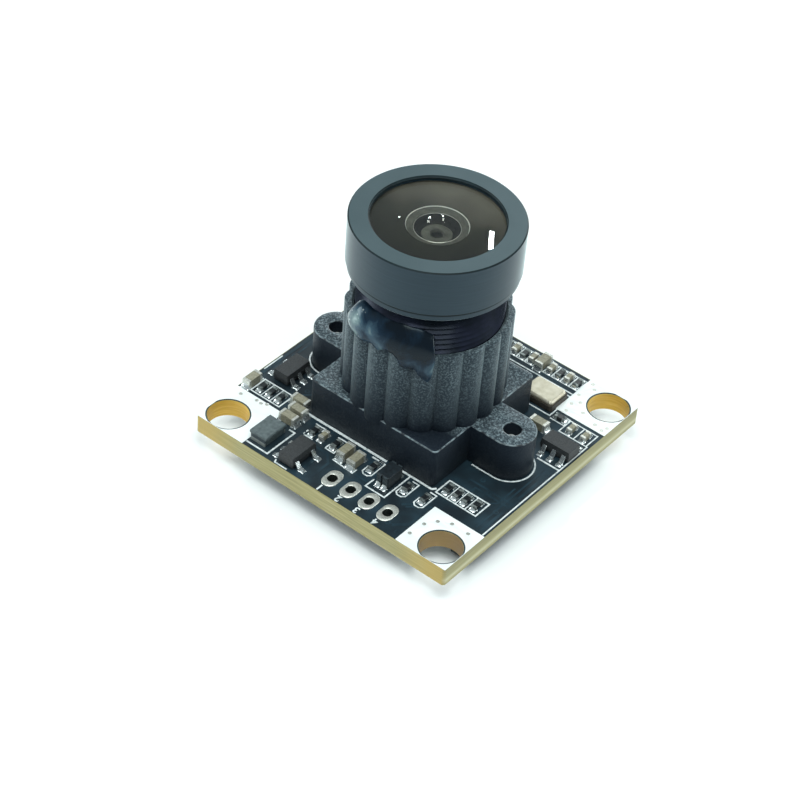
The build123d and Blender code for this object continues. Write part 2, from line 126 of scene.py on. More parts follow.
def mottled(tree, vector, cell, detail, stops):
    """A cloudy tone: noise whose cells are this many millimetres long, coloured by a ramp."""
    cloud = add(tree, "ShaderNodeTexNoise", {"Vector": vector, "Scale": per(cell), "Detail": detail})
    return cloud, add(tree, "ShaderNodeValToRGB", {"Fac": cloud.outputs["Fac"]}, stops=stops)


def grained(name, colour, cell, detail, stops, relief=None, **sockets):
    """A whole finish of one cloudy tone, its skin raised by the same cloud: strength and depth of it."""
    made, tree, shader, place = finish(name, colour, **sockets)
    cloud, tone = mottled(tree, place, cell, detail, stops)
    tree.links.new(tone.outputs["Color"], shader.inputs["Base Color"])
    if relief:
        strength, depth = relief
        bump = add(
            tree, "ShaderNodeBump",
            {"Height": cloud.outputs["Fac"], "Strength": strength, "Distance": depth * MM},
        )
        tree.links.new(bump.outputs["Normal"], shader.inputs["Normal"])
    return made


# Real grain is finer than a tenth of a millimetre on the small parts, and is drawn at 0.12 to 0.3 mm to show

# Liquid solder mask over glass epoxy: a blue-black satin skin whose tone shifts with the copper below
solder_mask, tree, shader, place = finish(
    "solder_mask", "#182329", Roughness=0.36, Coat_Weight=0.3, Coat_Roughness=0.2
)
tone = mottled(tree, place, 3.0, 3.0, [(0.35, "#131e25"), (0.5, "#1b2b33"), (0.68, "#253944")])[1]
tree.links.new(tone.outputs["Color"], shader.inputs["Base Color"])
ripple = add(tree, "ShaderNodeTexNoise", {"Vector": place, "Scale": per(0.4), "Detail": 2.0})
bump = add(
    tree, "ShaderNodeBump", {"Height": ripple.outputs["Fac"], "Strength": 0.12, "Distance": 0.02 * MM}
)
tree.links.new(bump.outputs["Normal"], shader.inputs["Normal"])

# The same mask where copper runs under it: a shade bluer and lighter, standing a hair proud
masked_copper = grained(
    "masked_copper", "#22333c", 1.2, 3.0, [(0.35, "#1b2a32"), (0.65, "#263b45")],
    Roughness=0.3, Coat_Weight=0.3,
)

# Sawn glass-epoxy laminate: yellow-olive, with the fine level lines of its glass cloth, a painted golden
# glow at the front face's two ends for light from the holes coming through it, and a painted highlight band
# low on the right face
glass_epoxy, tree, shader, place = finish(
    "glass_epoxy", "#b3a871", Roughness=0.55,
    Subsurface_Weight=0.15, Subsurface_Radius=(0.5 * MM, 0.4 * MM, 0.2 * MM),
)
layers = add(tree, "ShaderNodeMapping", {"Vector": place, "Scale": (0.25, 0.25, 6.0)})
cloth, tone = mottled(
    tree, layers.outputs["Vector"], 1.0, 4.0, [(0.3, "#968f60"), (0.5, "#a89f6c"), (0.72, "#bdb382")]
)
axes = add(tree, "ShaderNodeSeparateXYZ", {"Vector": place})
outward = add(tree, "ShaderNodeMath", {0: axes.outputs["X"]}, operation="ABSOLUTE")
near_end = add(
    tree, "ShaderNodeMapRange",
    {
        "Value": outward.outputs["Value"], "From Min": 8.0 * MM, "From Max": 11.5 * MM,
        "To Min": 0.0, "To Max": 0.7,
    },
)
on_front = add(
    tree, "ShaderNodeMapRange",
    {
        "Value": axes.outputs["Y"], "From Min": -13.0 * MM, "From Max": -12.7 * MM,
        "To Min": 1.0, "To Max": 0.0,
    },
)
# Painted glow: the front face's two ends drawn golden, for light that comes through from the holes
lit = add(
    tree, "ShaderNodeMath", {0: near_end.outputs["Result"], 1: on_front.outputs["Result"]},
    operation="MULTIPLY",
)
golden = add(
    tree, "ShaderNodeMix",
    {"Factor": lit.outputs["Value"], "A": tone.outputs["Color"], "B": linear("#c4a452")},
    data_type="RGBA",
)
# Painted highlight: a pale band low on the right face, where light catches the sawn edge
up_the_edge = add(
    tree, "ShaderNodeMapRange",
    {"Value": axes.outputs["Z"], "From Min": board_low * MM, "From Max": board_top * MM},
)
painted_edge_highlight = add(
    tree, "ShaderNodeValToRGB", {"Fac": up_the_edge.outputs["Result"]},
    stops=[(0.1, "#a39c6e"), (0.3, "#dad6b4"), (0.5, "#a09a70"), (0.9, "#8a8560")],
)
on_right = add(
    tree, "ShaderNodeMapRange",
    {
        "Value": axes.outputs["X"], "From Min": 12.7 * MM, "From Max": 13.0 * MM,
        "To Min": 0.0, "To Max": 0.65,
    },
)
with_painted_highlight = add(
    tree, "ShaderNodeMix",
    {"Factor": on_right.outputs["Result"], "A": golden.outputs["Result"], "B": painted_edge_highlight.outputs["Color"]},
    data_type="RGBA",
)
tree.links.new(with_painted_highlight.outputs["Result"], shader.inputs["Base Color"])
bump = add(
    tree, "ShaderNodeBump", {"Height": cloth.outputs["Fac"], "Strength": 0.15, "Distance": 0.02 * MM}
)
tree.links.new(bump.outputs["Normal"], shader.inputs["Normal"])

# Routed hole wall: bare epoxy that glows golden where light comes through the board, with painted shade
# at the front corner hole, whose far wall is drawn browner
amber_epoxy, tree, shader, place = finish(
    "amber_epoxy", "#c99a2a", Roughness=0.4,
    Subsurface_Weight=0.3, Subsurface_Radius=(0.6 * MM, 0.4 * MM, 0.1 * MM),
)
layers = add(tree, "ShaderNodeMapping", {"Vector": place, "Scale": (0.4, 0.4, 5.0)})
tone = mottled(
    tree, layers.outputs["Vector"], 0.8, 3.0, [(0.3, "#d2aa3a"), (0.5, "#deb746"), (0.7, "#e6c35a")]
)[1]
axes = add(tree, "ShaderNodeSeparateXYZ", {"Vector": place})
corner = add(
    tree, "ShaderNodeMath", {0: axes.outputs["X"], 1: axes.outputs["Y"]}, operation="SUBTRACT"
)
# Painted shade: the front corner's hole wall drawn browner, as its far wall lies in shadow
front_corner_shade = add(
    tree, "ShaderNodeMapRange",
    {"Value": corner.outputs["Value"], "From Min": 12.0 * MM, "From Max": 22.0 * MM},
)
with_painted_shade = add(
    tree, "ShaderNodeMix",
    {"Factor": front_corner_shade.outputs["Result"], "A": tone.outputs["Color"], "B": linear("#8f7450")},
    data_type="RGBA",
)
tree.links.new(with_painted_shade.outputs["Result"], shader.inputs["Base Color"])

# Hot-tinned copper: near white, gently uneven where the solder froze
tinned_copper = grained(
    "tinned_copper", "#f4f9f7", 1.4, 4.0, [(0.3, "#eef5f2"), (0.7, "#fafdfb")],
    relief=(0.35, 0.05), Metallic=0.12, Roughness=0.45,
)

# Copper wall of a plated hole drawn brown-green and dark: painted shade down the tube, where no light
# reaches
painted_shade_copper = grained(
    "painted_shade_copper", "#2b3431", 0.4, 3.0, [(0.3, "#1f2625"), (0.7, "#3f4743")],
    Metallic=0.4, Roughness=0.5,
)

# Reflowed solder: bright and wet looking, so each fillet carries one sharp glint
solder, tree, shader, place = finish("solder", "#dfe4e3", Metallic=0.9, Roughness=0.2)
cloud = add(tree, "ShaderNodeTexNoise", {"Vector": place, "Scale": per(0.25), "Detail": 3.0})
wet = add(
    tree, "ShaderNodeMapRange", {"Value": cloud.outputs["Fac"], "To Min": 0.14, "To Max": 0.34}
)
tree.links.new(wet.outputs["Result"], shader.inputs["Roughness"])
bump = add(
    tree, "ShaderNodeBump", {"Height": cloud.outputs["Fac"], "Strength": 0.3, "Distance": 0.02 * MM}
)
tree.links.new(bump.outputs["Normal"], shader.inputs["Normal"])

# White epoxy ink of the screen print: matt, thin at places so that the mask greys it
screen_ink = grained(
    "screen_ink", "#d9dedd", 0.35, 4.0, [(0.3, "#a9b3b3"), (0.48, "#d6dcdb"), (0.7, "#e9edec")],
    Roughness=0.6,
)

# Glass-filled black moulding with a spark-eroded skin: grains of 0.16 mm, grey up the tower, with painted
# glints on the top faces' grain, none at the front corner, and a painted sheen at the tower's silhouettes
black_moulding, tree, shader, place = finish(
    "black_moulding", "#1a2028", Roughness=0.42, Specular_IOR_Level=0.3,
    Specular_Tint=linear("#b4cbe0"), Sheen_Roughness=0.3, Sheen_Tint=linear("#c6dde4"),
)
grit = add(
    tree, "ShaderNodeTexNoise", {"Vector": place, "Scale": per(0.16), "Detail": 3.0, "Roughness": 0.75}
)
surface = add(tree, "ShaderNodeNewGeometry")
facing = add(tree, "ShaderNodeSeparateXYZ", {"Vector": surface.outputs["Normal"]})
# Painted glints: the grain drawn lighter on upward faces, where light falls from above
upward = add(
    tree, "ShaderNodeMapRange",
    {"Value": facing.outputs["Z"], "From Min": 0.3, "From Max": 0.95, "To Min": 0.0, "To Max": 1.0},
)
axes = add(tree, "ShaderNodeSeparateXYZ", {"Vector": place})
eroded = add(
    tree, "ShaderNodeMapRange",
    {
        "Value": axes.outputs["Z"], "From Min": 7.0 * MM, "From Max": 13.0 * MM,
        "To Min": 0.03, "To Max": 0.5,
    },
)
tree.links.new(eroded.outputs["Result"], shader.inputs["Sheen Weight"])
# The painted glints are left out at the front corner, which stays dark
front_band = add(
    tree, "ShaderNodeMapRange",
    {
        "Value": axes.outputs["Y"], "From Min": -4.2 * MM, "From Max": -2.6 * MM,
        "To Min": 0.96, "To Max": 0.0,
    },
)
front = add(
    tree, "ShaderNodeMapRange",
    {"Value": axes.outputs["X"], "From Min": 0.0, "From Max": 3.0 * MM, "To Min": 0.0, "To Max": 1.0},
)
front_corner = add(
    tree, "ShaderNodeMath", {0: front_band.outputs["Result"], 1: front.outputs["Result"]},
    operation="MULTIPLY",
)
level = add(
    tree, "ShaderNodeMath", {0: upward.outputs["Result"], 1: front_corner.outputs["Value"]},
    operation="SUBTRACT",
)
grain_and_glint_share = add(
    tree, "ShaderNodeMath", {0: level.outputs["Value"], 1: eroded.outputs["Result"]},
    operation="MAXIMUM",
)
speck = add(
    tree, "ShaderNodeMapRange",
    {"Value": grit.outputs["Fac"], "From Min": 0.47, "From Max": 0.64, "To Min": 0.12, "To Max": 1.0},
)
grain_and_painted_glint = add(
    tree, "ShaderNodeMath", {0: speck.outputs["Result"], 1: grain_and_glint_share.outputs["Value"]},
    operation="MULTIPLY",
)
shade = add(
    tree, "ShaderNodeMix",
    {"Factor": grain_and_painted_glint.outputs["Value"], "A": linear("#10161f"), "B": linear("#7f8f94")},
    data_type="RGBA",
)
# Painted sheen: up the tower the colour turns pale at grazing angles, towards the silhouettes
grazing = add(tree, "ShaderNodeLayerWeight", {"Blend": 0.2})
painted_rim_sheen = add(
    tree, "ShaderNodeMath", {0: grazing.outputs["Facing"], 1: eroded.outputs["Result"]},
    operation="MULTIPLY",
)
with_painted_rim_sheen = add(
    tree, "ShaderNodeMix",
    {"Factor": painted_rim_sheen.outputs["Value"], "A": shade.outputs["Result"], "B": linear("#8fa3a6")},
    data_type="RGBA",
)
tree.links.new(with_painted_rim_sheen.outputs["Result"], shader.inputs["Base Color"])
bump = add(
    tree, "ShaderNodeBump", {"Height": grit.outputs["Fac"], "Strength": 0.6, "Distance": 0.07 * MM}
)
tree.links.new(bump.outputs["Normal"], shader.inputs["Normal"])

# Up-facing chamfers of the same moulding: the black drawn grey along the edges as a painted highlight
painted_highlight_moulding = grained(
    "painted_highlight_moulding", "#56646a", 0.5, 4.0, [(0.4, "#20262d"), (0.6, "#7c8b90")], Roughness=0.35
)

# Slate-dyed anodised aluminium: paler on its top ring, finely turned and darker down its side, with a
# painted sheen at its silhouettes
slate_anodised, tree, shader, place = finish(
    "slate_anodised", "#3a474f", Roughness=0.34, Specular_Tint=linear("#c3d6e0"),
    Sheen_Weight=1.0, Sheen_Roughness=0.22, Sheen_Tint=linear("#dcebea"),
)
turning = add(tree, "ShaderNodeMapping", {"Vector": place, "Scale": (0.15, 0.15, 8.0)})
lines = add(
    tree, "ShaderNodeTexNoise", {"Vector": turning.outputs["Vector"], "Scale": per(0.8), "Detail": 5.0}
)
surface = add(tree, "ShaderNodeNewGeometry")
facing = add(tree, "ShaderNodeSeparateXYZ", {"Vector": surface.outputs["Normal"]})
top_facing = add(
    tree, "ShaderNodeMapRange", {"Value": facing.outputs["Z"], "From Min": 0.5, "From Max": 0.95}
)
side_tone = add(
    tree, "ShaderNodeValToRGB", {"Fac": lines.outputs["Fac"]},
    stops=[(0.3, "#1f2e37"), (0.7, "#25353f")],
)
top_tone = add(
    tree, "ShaderNodeValToRGB", {"Fac": lines.outputs["Fac"]},
    stops=[(0.35, "#38474b"), (0.65, "#3f4e52")],
)
tone = add(
    tree, "ShaderNodeMix",
    {"Factor": top_facing.outputs["Result"], "A": side_tone.outputs["Color"], "B": top_tone.outputs["Color"]},
    data_type="RGBA",
)
# Painted sheen: the side drawn pale at grazing angles, towards its silhouettes
grazing = add(tree, "ShaderNodeLayerWeight", {"Blend": 0.14})
painted_sheen = add(tree, "ShaderNodeMath", {0: grazing.outputs["Facing"], 1: 2.2}, operation="POWER")
with_painted_sheen = add(
    tree, "ShaderNodeMix",
    {"Factor": painted_sheen.outputs["Value"], "A": tone.outputs["Result"], "B": linear("#93a5a4")},
    data_type="RGBA",
)
tree.links.new(with_painted_sheen.outputs["Result"], shader.inputs["Base Color"])
bump = add(
    tree, "ShaderNodeBump", {"Height": lines.outputs["Fac"], "Strength": 0.06, "Distance": 0.02 * MM}
)
tree.links.new(bump.outputs["Normal"], shader.inputs["Normal"])

# The same dye drawn almost black: fine dark lines on the head's top chamfers and at the glass rim, and a
# painted shadow on the band under the head's lower edge
dark_line_and_shadow_anodised = grained(
    "dark_line_and_shadow_anodised", "#15211f", 2.0, 3.0, [(0.3, "#0e181b"), (0.7, "#1c2a2e")],
    Roughness=0.45, Specular_IOR_Level=0.15,
)

# The same dye on the cut thread: bronze black
thread_anodised = grained(
    "thread_anodised", "#1b1e25", 1.5, 3.0, [(0.3, "#141c22"), (0.7, "#25293a")],
    Metallic=0.3, Roughness=0.24, Specular_Tint=linear("#c4cadd"),
)

# Ground and coated optical glass: clear, with a faint warm cast and weak mirroring from its coating
optical_glass = grained(
    "optical_glass", "#f4f3ec", 2.0, 2.0, [(0.3, "#f1efe6"), (0.7, "#f8f7f2")],
    Roughness=0.0, IOR=1.5, Transmission_Weight=1.0, Specular_IOR_Level=0.1,
)

# Edge-blackening lacquer on the glass and in the cell: brown-black, with a painted reflection that makes it
# paler to the rear
edge_black, tree, shader, place = finish("edge_black", "#2c2b22", Roughness=0.5)
cloud = add(tree, "ShaderNodeTexNoise", {"Vector": place, "Scale": per(5.0), "Detail": 1.0})
depth = add(tree, "ShaderNodeSeparateXYZ", {"Vector": place})
# Painted reflection: paler towards the rear
rear = add(
    tree, "ShaderNodeMapRange",
    {
        "Value": depth.outputs["Y"], "From Min": -4.5 * MM, "From Max": 4.5 * MM,
        "To Min": -0.3, "To Max": 0.4,
    },
)
mottle_and_painted_reflection = add(tree, "ShaderNodeMath", {0: cloud.outputs["Fac"], 1: rear.outputs["Result"]}, operation="ADD")
tone = add(
    tree, "ShaderNodeValToRGB", {"Fac": mottle_and_painted_reflection.outputs["Value"]},
    stops=[(0.15, "#1e211c"), (0.5, "#34352c"), (0.9, "#69665a")],
)
tree.links.new(tone.outputs["Color"], shader.inputs["Base Color"])

# Black paint down the well between the two front glasses, dead matt
well_black = grained(
    "well_black", "#11120e", 0.8, 3.0, [(0.3, "#080906"), (0.7, "#12130e")],
    Roughness=0.6, Specular_IOR_Level=0.12,
)

# Chemically blackened brass of the spacers: dull, greyer than the lacquer round it
spacer_black, tree, shader, place = finish("spacer_black", "#45463f", Roughness=0.6)
turning = add(tree, "ShaderNodeMapping", {"Vector": place, "Scale": (1.0, 1.0, 10.0)})
tone = mottled(tree, turning.outputs["Vector"], 0.5, 3.0, [(0.3, "#42443e"), (0.7, "#5e6159")])[1]
tree.links.new(tone.outputs["Color"], shader.inputs["Base Color"])

# Cured acrylic adhesive: glossy, milky where it is thick at its start, blue-black and clear along the run,
# darker towards its top, its bubbles drawn as bright specks that partly paint their sparkle
adhesive, tree, shader, place = finish(
    "adhesive", "#1b2838", IOR=1.48, Specular_IOR_Level=0.35, Specular_Tint=linear("#cbdbe0")
)
axes = add(tree, "ShaderNodeSeparateXYZ", {"Vector": place})
depth = add(
    tree, "ShaderNodeTexNoise", {"Vector": place, "Scale": per(1.8), "Detail": 4.0, "Distortion": 0.5}
)
run = add(
    tree, "ShaderNodeMapRange",
    {
        "Value": axes.outputs["X"], "From Min": -3.6 * MM, "From Max": 1.4 * MM,
        "To Min": 0.26, "To Max": -0.12,
    },
)
skin = add(
    tree, "ShaderNodeMapRange",
    {
        "Value": axes.outputs["X"], "From Min": -3.4 * MM, "From Max": -0.8 * MM,
        "To Min": 0.03, "To Max": 0.22,
    },
)
tree.links.new(skin.outputs["Result"], shader.inputs["Roughness"])
# Darker towards its top
darker_higher = add(
    tree, "ShaderNodeMapRange",
    {
        "Value": axes.outputs["Z"], "From Min": (tower_top - 0.7) * MM, "From Max": (tower_top + 0.5) * MM,
        "To Min": 0.08, "To Max": -0.1,
    },
)
banded = add(tree, "ShaderNodeMath", {0: run.outputs["Result"], 1: darker_higher.outputs["Result"]}, operation="ADD")
milky = add(tree, "ShaderNodeMath", {0: depth.outputs["Fac"], 1: banded.outputs["Value"]}, operation="ADD")
tone = add(
    tree, "ShaderNodeValToRGB", {"Fac": milky.outputs["Value"]},
    stops=[(0.3, "#0b141e"), (0.46, "#172838"), (0.6, "#3c5260"), (0.72, "#6d8385"), (0.84, "#b3c4c1")],
)
# Bubbles near the start, drawn as bright specks: partly the bubbles, partly their painted sparkle
bubbles = add(tree, "ShaderNodeTexVoronoi", {"Vector": place, "Scale": per(0.55)})
speck = add(
    tree, "ShaderNodeMapRange",
    {
        "Value": bubbles.outputs["Distance"], "From Min": 0.09, "From Max": 0.17,
        "To Min": 0.8, "To Max": 0.0,
    },
)
blown = add(
    tree, "ShaderNodeMapRange",
    {
        "Value": axes.outputs["X"], "From Min": -2.6 * MM, "From Max": -1.0 * MM,
        "To Min": 1.0, "To Max": 0.0,
    },
)
painted_bubble_sparkle = add(
    tree, "ShaderNodeMath", {0: speck.outputs["Result"], 1: blown.outputs["Result"]},
    operation="MULTIPLY",
)
with_bubble_sparkle = add(
    tree, "ShaderNodeMix",
    {"Factor": painted_bubble_sparkle.outputs["Value"], "A": tone.outputs["Color"], "B": linear("#d5e0de")},
    data_type="RGBA",
)
tree.links.new(with_bubble_sparkle.outputs["Result"], shader.inputs["Base Color"])
bump = add(
    tree, "ShaderNodeBump", {"Height": depth.outputs["Fac"], "Strength": 0.15, "Distance": 0.15 * MM}
)
tree.links.new(bump.outputs["Normal"], shader.inputs["Normal"])

# Fired barium titanate of the capacitors: beige-grey, finely grained
titanate = grained("titanate", "#8f8975", 0.2, 4.0, [(0.3, "#787461"), (0.7, "#9b9783")], Roughness=0.42)

# Barrel-plated tin on the chips' ends: pale and satin, softer than solder
plated_tin = grained(
    "plated_tin", "#ccccc2", 0.12, 3.0, [(0.3, "#b9b9b0"), (0.7, "#e4e4db")],
    relief=(0.3, 0.02), Metallic=0.6, Roughness=0.34,
)

# Tin on the resistors' small ends, dulled to grey by handling
dulled_tin = grained(
    "dulled_tin", "#6f7776", 0.3, 3.0, [(0.35, "#3f4647"), (0.65, "#9aa19e")], Metallic=0.5, Roughness=0.4
)

# End plates of the coils: dark over their upper part, bright tinned near the board
dark_topped_tin, tree, shader, place = finish("dark_topped_tin", "#3a4345", Roughness=0.4)
grain = add(tree, "ShaderNodeTexNoise", {"Vector": place, "Scale": per(0.3), "Detail": 3.0})
axes = add(tree, "ShaderNodeSeparateXYZ", {"Vector": place})
rise = add(
    tree, "ShaderNodeMath", {0: axes.outputs["Z"], 1: (board_low + board_top) / 2 * MM},
    operation="SUBTRACT",
)
off_board = add(tree, "ShaderNodeMath", {0: rise.outputs["Value"]}, operation="ABSOLUTE")
near_board = add(
    tree, "ShaderNodeMapRange",
    {
        "Value": off_board.outputs["Value"], "From Min": ((board_top - board_low) / 2 + 0.3) * MM,
        "From Max": ((board_top - board_low) / 2 + 0.42) * MM, "To Min": 0.75, "To Max": 0.0,
    },
)
upper_tone = add(
    tree, "ShaderNodeValToRGB", {"Fac": grain.outputs["Fac"]},
    stops=[(0.3, "#262e31"), (0.7, "#39444a")],
)
tone = add(
    tree, "ShaderNodeMix",
    {"Factor": near_board.outputs["Result"], "A": upper_tone.outputs["Color"], "B": linear("#c3c8c3")},
    data_type="RGBA",
)
tree.links.new(tone.outputs["Result"], shader.inputs["Base Color"])
tree.links.new(near_board.outputs["Result"], shader.inputs["Metallic"])

# Overglaze of the chip resistors: black enamel with soft gloss
resistor_glaze = grained(
    "resistor_glaze", "#17191b", 0.15, 3.0, [(0.3, "#101214"), (0.7, "#23282b")], Roughness=0.3
)

# Epoxy moulding compound of the packages: charcoal, its silica grains drawn at 0.12 mm so that they show
moulding_compound = grained(
    "moulding_compound", "#303134", 0.12, 4.0, [(0.3, "#1d1f20"), (0.7, "#333638")],
    relief=(0.5, 0.03), Roughness=0.55,
)

# Ground ferrite of the coils: blue-grey, matt, a little paler in patches
ferrite = grained("ferrite", "#4d5859", 0.3, 4.0, [(0.3, "#434d4f"), (0.7, "#5c6869")], Roughness=0.5)

# Lacquered black ferrite of the choke and the coils' lower flanges
black_ferrite = grained(
    "black_ferrite", "#1c2329", 0.3, 4.0, [(0.3, "#0f1519"), (0.7, "#1d272d")], Roughness=0.4
)

# Nickel-plated drawn lid: warm cream under soft light, satin
lid_plating = grained(
    "lid_plating", "#d9d2bf", 0.5, 4.0, [(0.3, "#bfb7a0"), (0.7, "#d4cdba")], Metallic=0.6, Roughness=0.38
)

# Pressed dark alumina: the oscillators' trays and the sensor's frame
dark_alumina = grained(
    "dark_alumina", "#2a241d", 0.2, 4.0, [(0.3, "#221c16"), (0.7, "#3a3227")], Roughness=0.55
)

# Polished silicon: a dark mirror with a violet sheen from its filter dots, 0.2 mm cells to show
silicon, tree, shader, place = finish("silicon", "#2a2d3a", Metallic=0.4, Roughness=0.15)
cells = add(tree, "ShaderNodeTexVoronoi", {"Vector": place, "Scale": per(0.2)})
tone = add(
    tree, "ShaderNodeValToRGB", {"Fac": cells.outputs["Distance"]},
    stops=[(0.1, "#2f2b45"), (0.6, "#1f2a33")],
)
tree.links.new(tone.outputs["Color"], shader.inputs["Base Color"])

# Zinc-plated steel of the screws: bright grey with the faint rings of turning
zinc_steel, tree, shader, place = finish("zinc_steel", "#d2d4d1", Metallic=0.5, Roughness=0.32)
grain = add(tree, "ShaderNodeTexNoise", {"Vector": place, "Scale": per(0.25), "Detail": 3.0})
rub = add(
    tree, "ShaderNodeMapRange", {"Value": grain.outputs["Fac"], "To Min": 0.22, "To Max": 0.45}
)
tree.links.new(rub.outputs["Result"], shader.inputs["Roughness"])

# Satin white table top: pale, with a weak reflection of what stands on it
table_white = grained(
    "table_white", "#f2f3f2", 60.0, 2.0, [(0.3, "#f0f2f1"), (0.7, "#f6f6f5")], Roughness=0.3
)


# Ways of making a piece


def dress(name, mesh, material, smooth=32):
    """Puts a finished mesh on the object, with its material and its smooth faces."""
    made = bpy.data.objects.new(name, mesh)
    bpy.context.scene.collection.objects.link(made)
    if material:
        mesh.materials.append(material)
    mesh.polygons.foreach_set("use_smooth", [True] * len(mesh.polygons))
    mesh.set_sharp_from_angle(angle=radians(smooth))
    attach(made, "root")
    return made


def settle(bm, name):
    """Closes a bmesh in millimetres into a mesh in metres, welded and facing outwards."""
    bmesh.ops.remove_doubles(bm, verts=bm.verts, dist=1e-5)
    bmesh.ops.recalc_face_normals(bm, faces=bm.faces)
    bmesh.ops.scale(bm, vec=(MM, MM, MM), verts=bm.verts)
    mesh = bpy.data.meshes.new(name)
    bm.to_mesh(mesh)
    bm.free()
    return mesh


def ring_skin(bm, rings, closed_across=False):
    """Skins a list of rings, each the same number of points, into a band of quads."""
    rows = [[bm.verts.new(p) for p in ring] for ring in rings]
    pairs = list(zip(rows, rows[1:])) + ([(rows[-1], rows[0])] if closed_across else [])
    count = len(rows[0])
    for lower, upper in pairs:
        for k in range(count):
            corners = [lower[k], lower[(k + 1) % count], upper[(k + 1) % count], upper[k]]
            unique = list(dict.fromkeys(corners))
            if len(unique) > 2:
                bm.faces.new(unique)
    return rows


def turn(bm, profile, centre=(0, 0), sides=96, closed=True):
    """Turns a profile of (radius, height) points round an upright axis."""
    rings = [
        [
            (centre[0] + r * cos(2 * pi * k / sides), centre[1] + r * sin(2 * pi * k / sides), z)
            for k in range(sides)
        ]
        for r, z in profile
    ]
    ring_skin(bm, rings, closed_across=closed)


def turned(name, profile, material, centres=((0, 0),), sides=96, closed=True, smooth=32):
    """A turned piece, at one place or several."""
    bm = bmesh.new()
    for centre in centres:
        turn(bm, profile, centre, sides, closed)
    return dress(name, settle(bm, name), material, smooth)


def circle(x, y, radius, sides=64):
    return [
        (x + radius * cos(2 * pi * k / sides), y + radius * sin(2 * pi * k / sides)) for k in range(sides)
    ]


def rounded(x, y, width, length, radius, steps=6):
    """Rectangle about a centre with round corners."""
    loop = []
    for quarter, (sx, sy) in enumerate(((1, 1), (-1, 1), (-1, -1), (1, -1))):
        cx, cy = x + sx * (width / 2 - radius), y + sy * (length / 2 - radius)
        for k in range(steps + 1):
            angle = (quarter + k / steps) * pi / 2
            loop.append((cx + radius * cos(angle), cy + radius * sin(angle)))
    return loop


def stroke(points, width):
    """Outline of a drawn line of even width with mitred corners: two loops where the line closes."""
    closed = points[0] == points[-1]
    normals = []
    for (ax, ay), (bx, by) in zip(points, points[1:]):
        length = hypot(bx - ax, by - ay)
        normals.append(((ay - by) / length, (bx - ax) / length))
    left, right = [], []
    for k, (x, y) in enumerate(points[:-1] if closed else points):
        before = normals[k - 1] if k or closed else normals[0]
        after = normals[min(k, len(normals) - 1)]
        mx, my = before[0] + after[0], before[1] + after[1]
        reach = width / max(0.6, mx * mx + my * my)
        left.append((x + mx * reach, y + my * reach))
        right.append((x - mx * reach, y - my * reach))
    return [left, right] if closed else [left + right[::-1]]


def flat_mesh(name, loops, low, high, edge=0.0):
    """Mesh of flat plates from closed loops, loops inside others being holes, with edges rounded."""
    curve = bpy.data.curves.new(name, "CURVE")
    curve.dimensions = "2D"
    curve.fill_mode = "BOTH"
    curve.extrude = ((high - low) / 2 - edge) * MM
    curve.bevel_depth = edge * MM
    curve.bevel_resolution = 1
    curve.offset = -edge * MM
    for loop in loops:
        spline = curve.splines.new("POLY")
        spline.points.add(len(loop) - 1)
        for point, (x, y) in zip(spline.points, loop):
            point.co = (x * MM, y * MM, 0, 1)
        spline.use_cyclic_u = True
    filled = bpy.data.objects.new(name, curve)
    mesh = bpy.data.meshes.new_from_object(filled)
    mesh.transform(Matrix.Translation((0, 0, (low + high) / 2 * MM)))
    mesh.materials.clear()
    bm = bmesh.new()
    bm.from_mesh(mesh)
    bmesh.ops.remove_doubles(bm, verts=bm.verts, dist=1e-8)
    bmesh.ops.recalc_face_normals(bm, faces=bm.faces)
    bm.to_mesh(mesh)
    bm.free()
    bpy.data.objects.remove(filled)
    bpy.data.curves.remove(curve)
    mesh.name = name
    return mesh


def plate(name, loops, low, high, edge, material):
    """A flat plate on the object."""
    return dress(name, flat_mesh(name, loops, low, high, edge), material)


def drawn(name, lines, low, high, material):
    """Lines drawn one over another, each a hair higher than the last so that crossings stay clean."""
    bm = bmesh.new()
    for k, (points, width) in enumerate(lines):
        mesh = flat_mesh(name, stroke(points, width), low, high + 0.0005 * (k % 12))
        bm.from_mesh(mesh)
        bpy.data.meshes.remove(mesh)
    mesh = bpy.data.meshes.new(name)
    bm.to_mesh(mesh)
    bm.free()
    return dress(name, mesh, material)


def second_finish(piece, material, picked):
    """Gives a second material to the faces picked by their middle, in millimetres, and their normal."""
    piece.data.materials.append(material)
    for face in piece.data.polygons:
        if picked(face.center / MM, face.normal):
            face.material_index = 1


def arc(x, y, radius, start, end, step):
    """Points along part of a circle, by angles in degrees."""
    return [(x + radius * cos(radians(a)), y + radius * sin(radians(a))) for a in range(start, end, step)]


def solids_of(node_name):
    """Lowest and highest corner of each loose solid in a CAD node, in millimetres."""
    bm = bmesh.new()
    bm.from_mesh(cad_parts[node_name].data)
    bmesh.ops.remove_doubles(bm, verts=bm.verts, dist=1e-7)
    seen, boxes = set(), []
    for start in bm.verts:
        if start in seen:
            continue
        group, queue = [], [start]
        seen.add(start)
        while queue:
            v = queue.pop()
            group.append(v.co / MM)
            for e in v.link_edges:
                other = e.other_vert(v)
                if other not in seen:
                    seen.add(other)
                    queue.append(other)
        low = Vector([min(c[k] for c in group) for k in range(3)])
        high = Vector([max(c[k] for c in group) for k in range(3)])
        boxes.append((low, high))
    bm.free()
    return boxes


def soften(node_name, width, material):
    """Gives a CAD node its material and a fine rounding of its edges."""
    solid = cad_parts[node_name]
    solid.data.materials.clear()
    solid.data.materials.append(material)
    weld = solid.modifiers.new("weld", "WELD")
    weld.merge_threshold = 1e-6
    rounding = solid.modifiers.new("rounding", "BEVEL")
    rounding.width = width * MM
    rounding.segments = 2
    rounding.limit_method = "ANGLE"
    rounding.angle_limit = radians(35)
    rounding.harden_normals = True
    return solid


# Circuit board

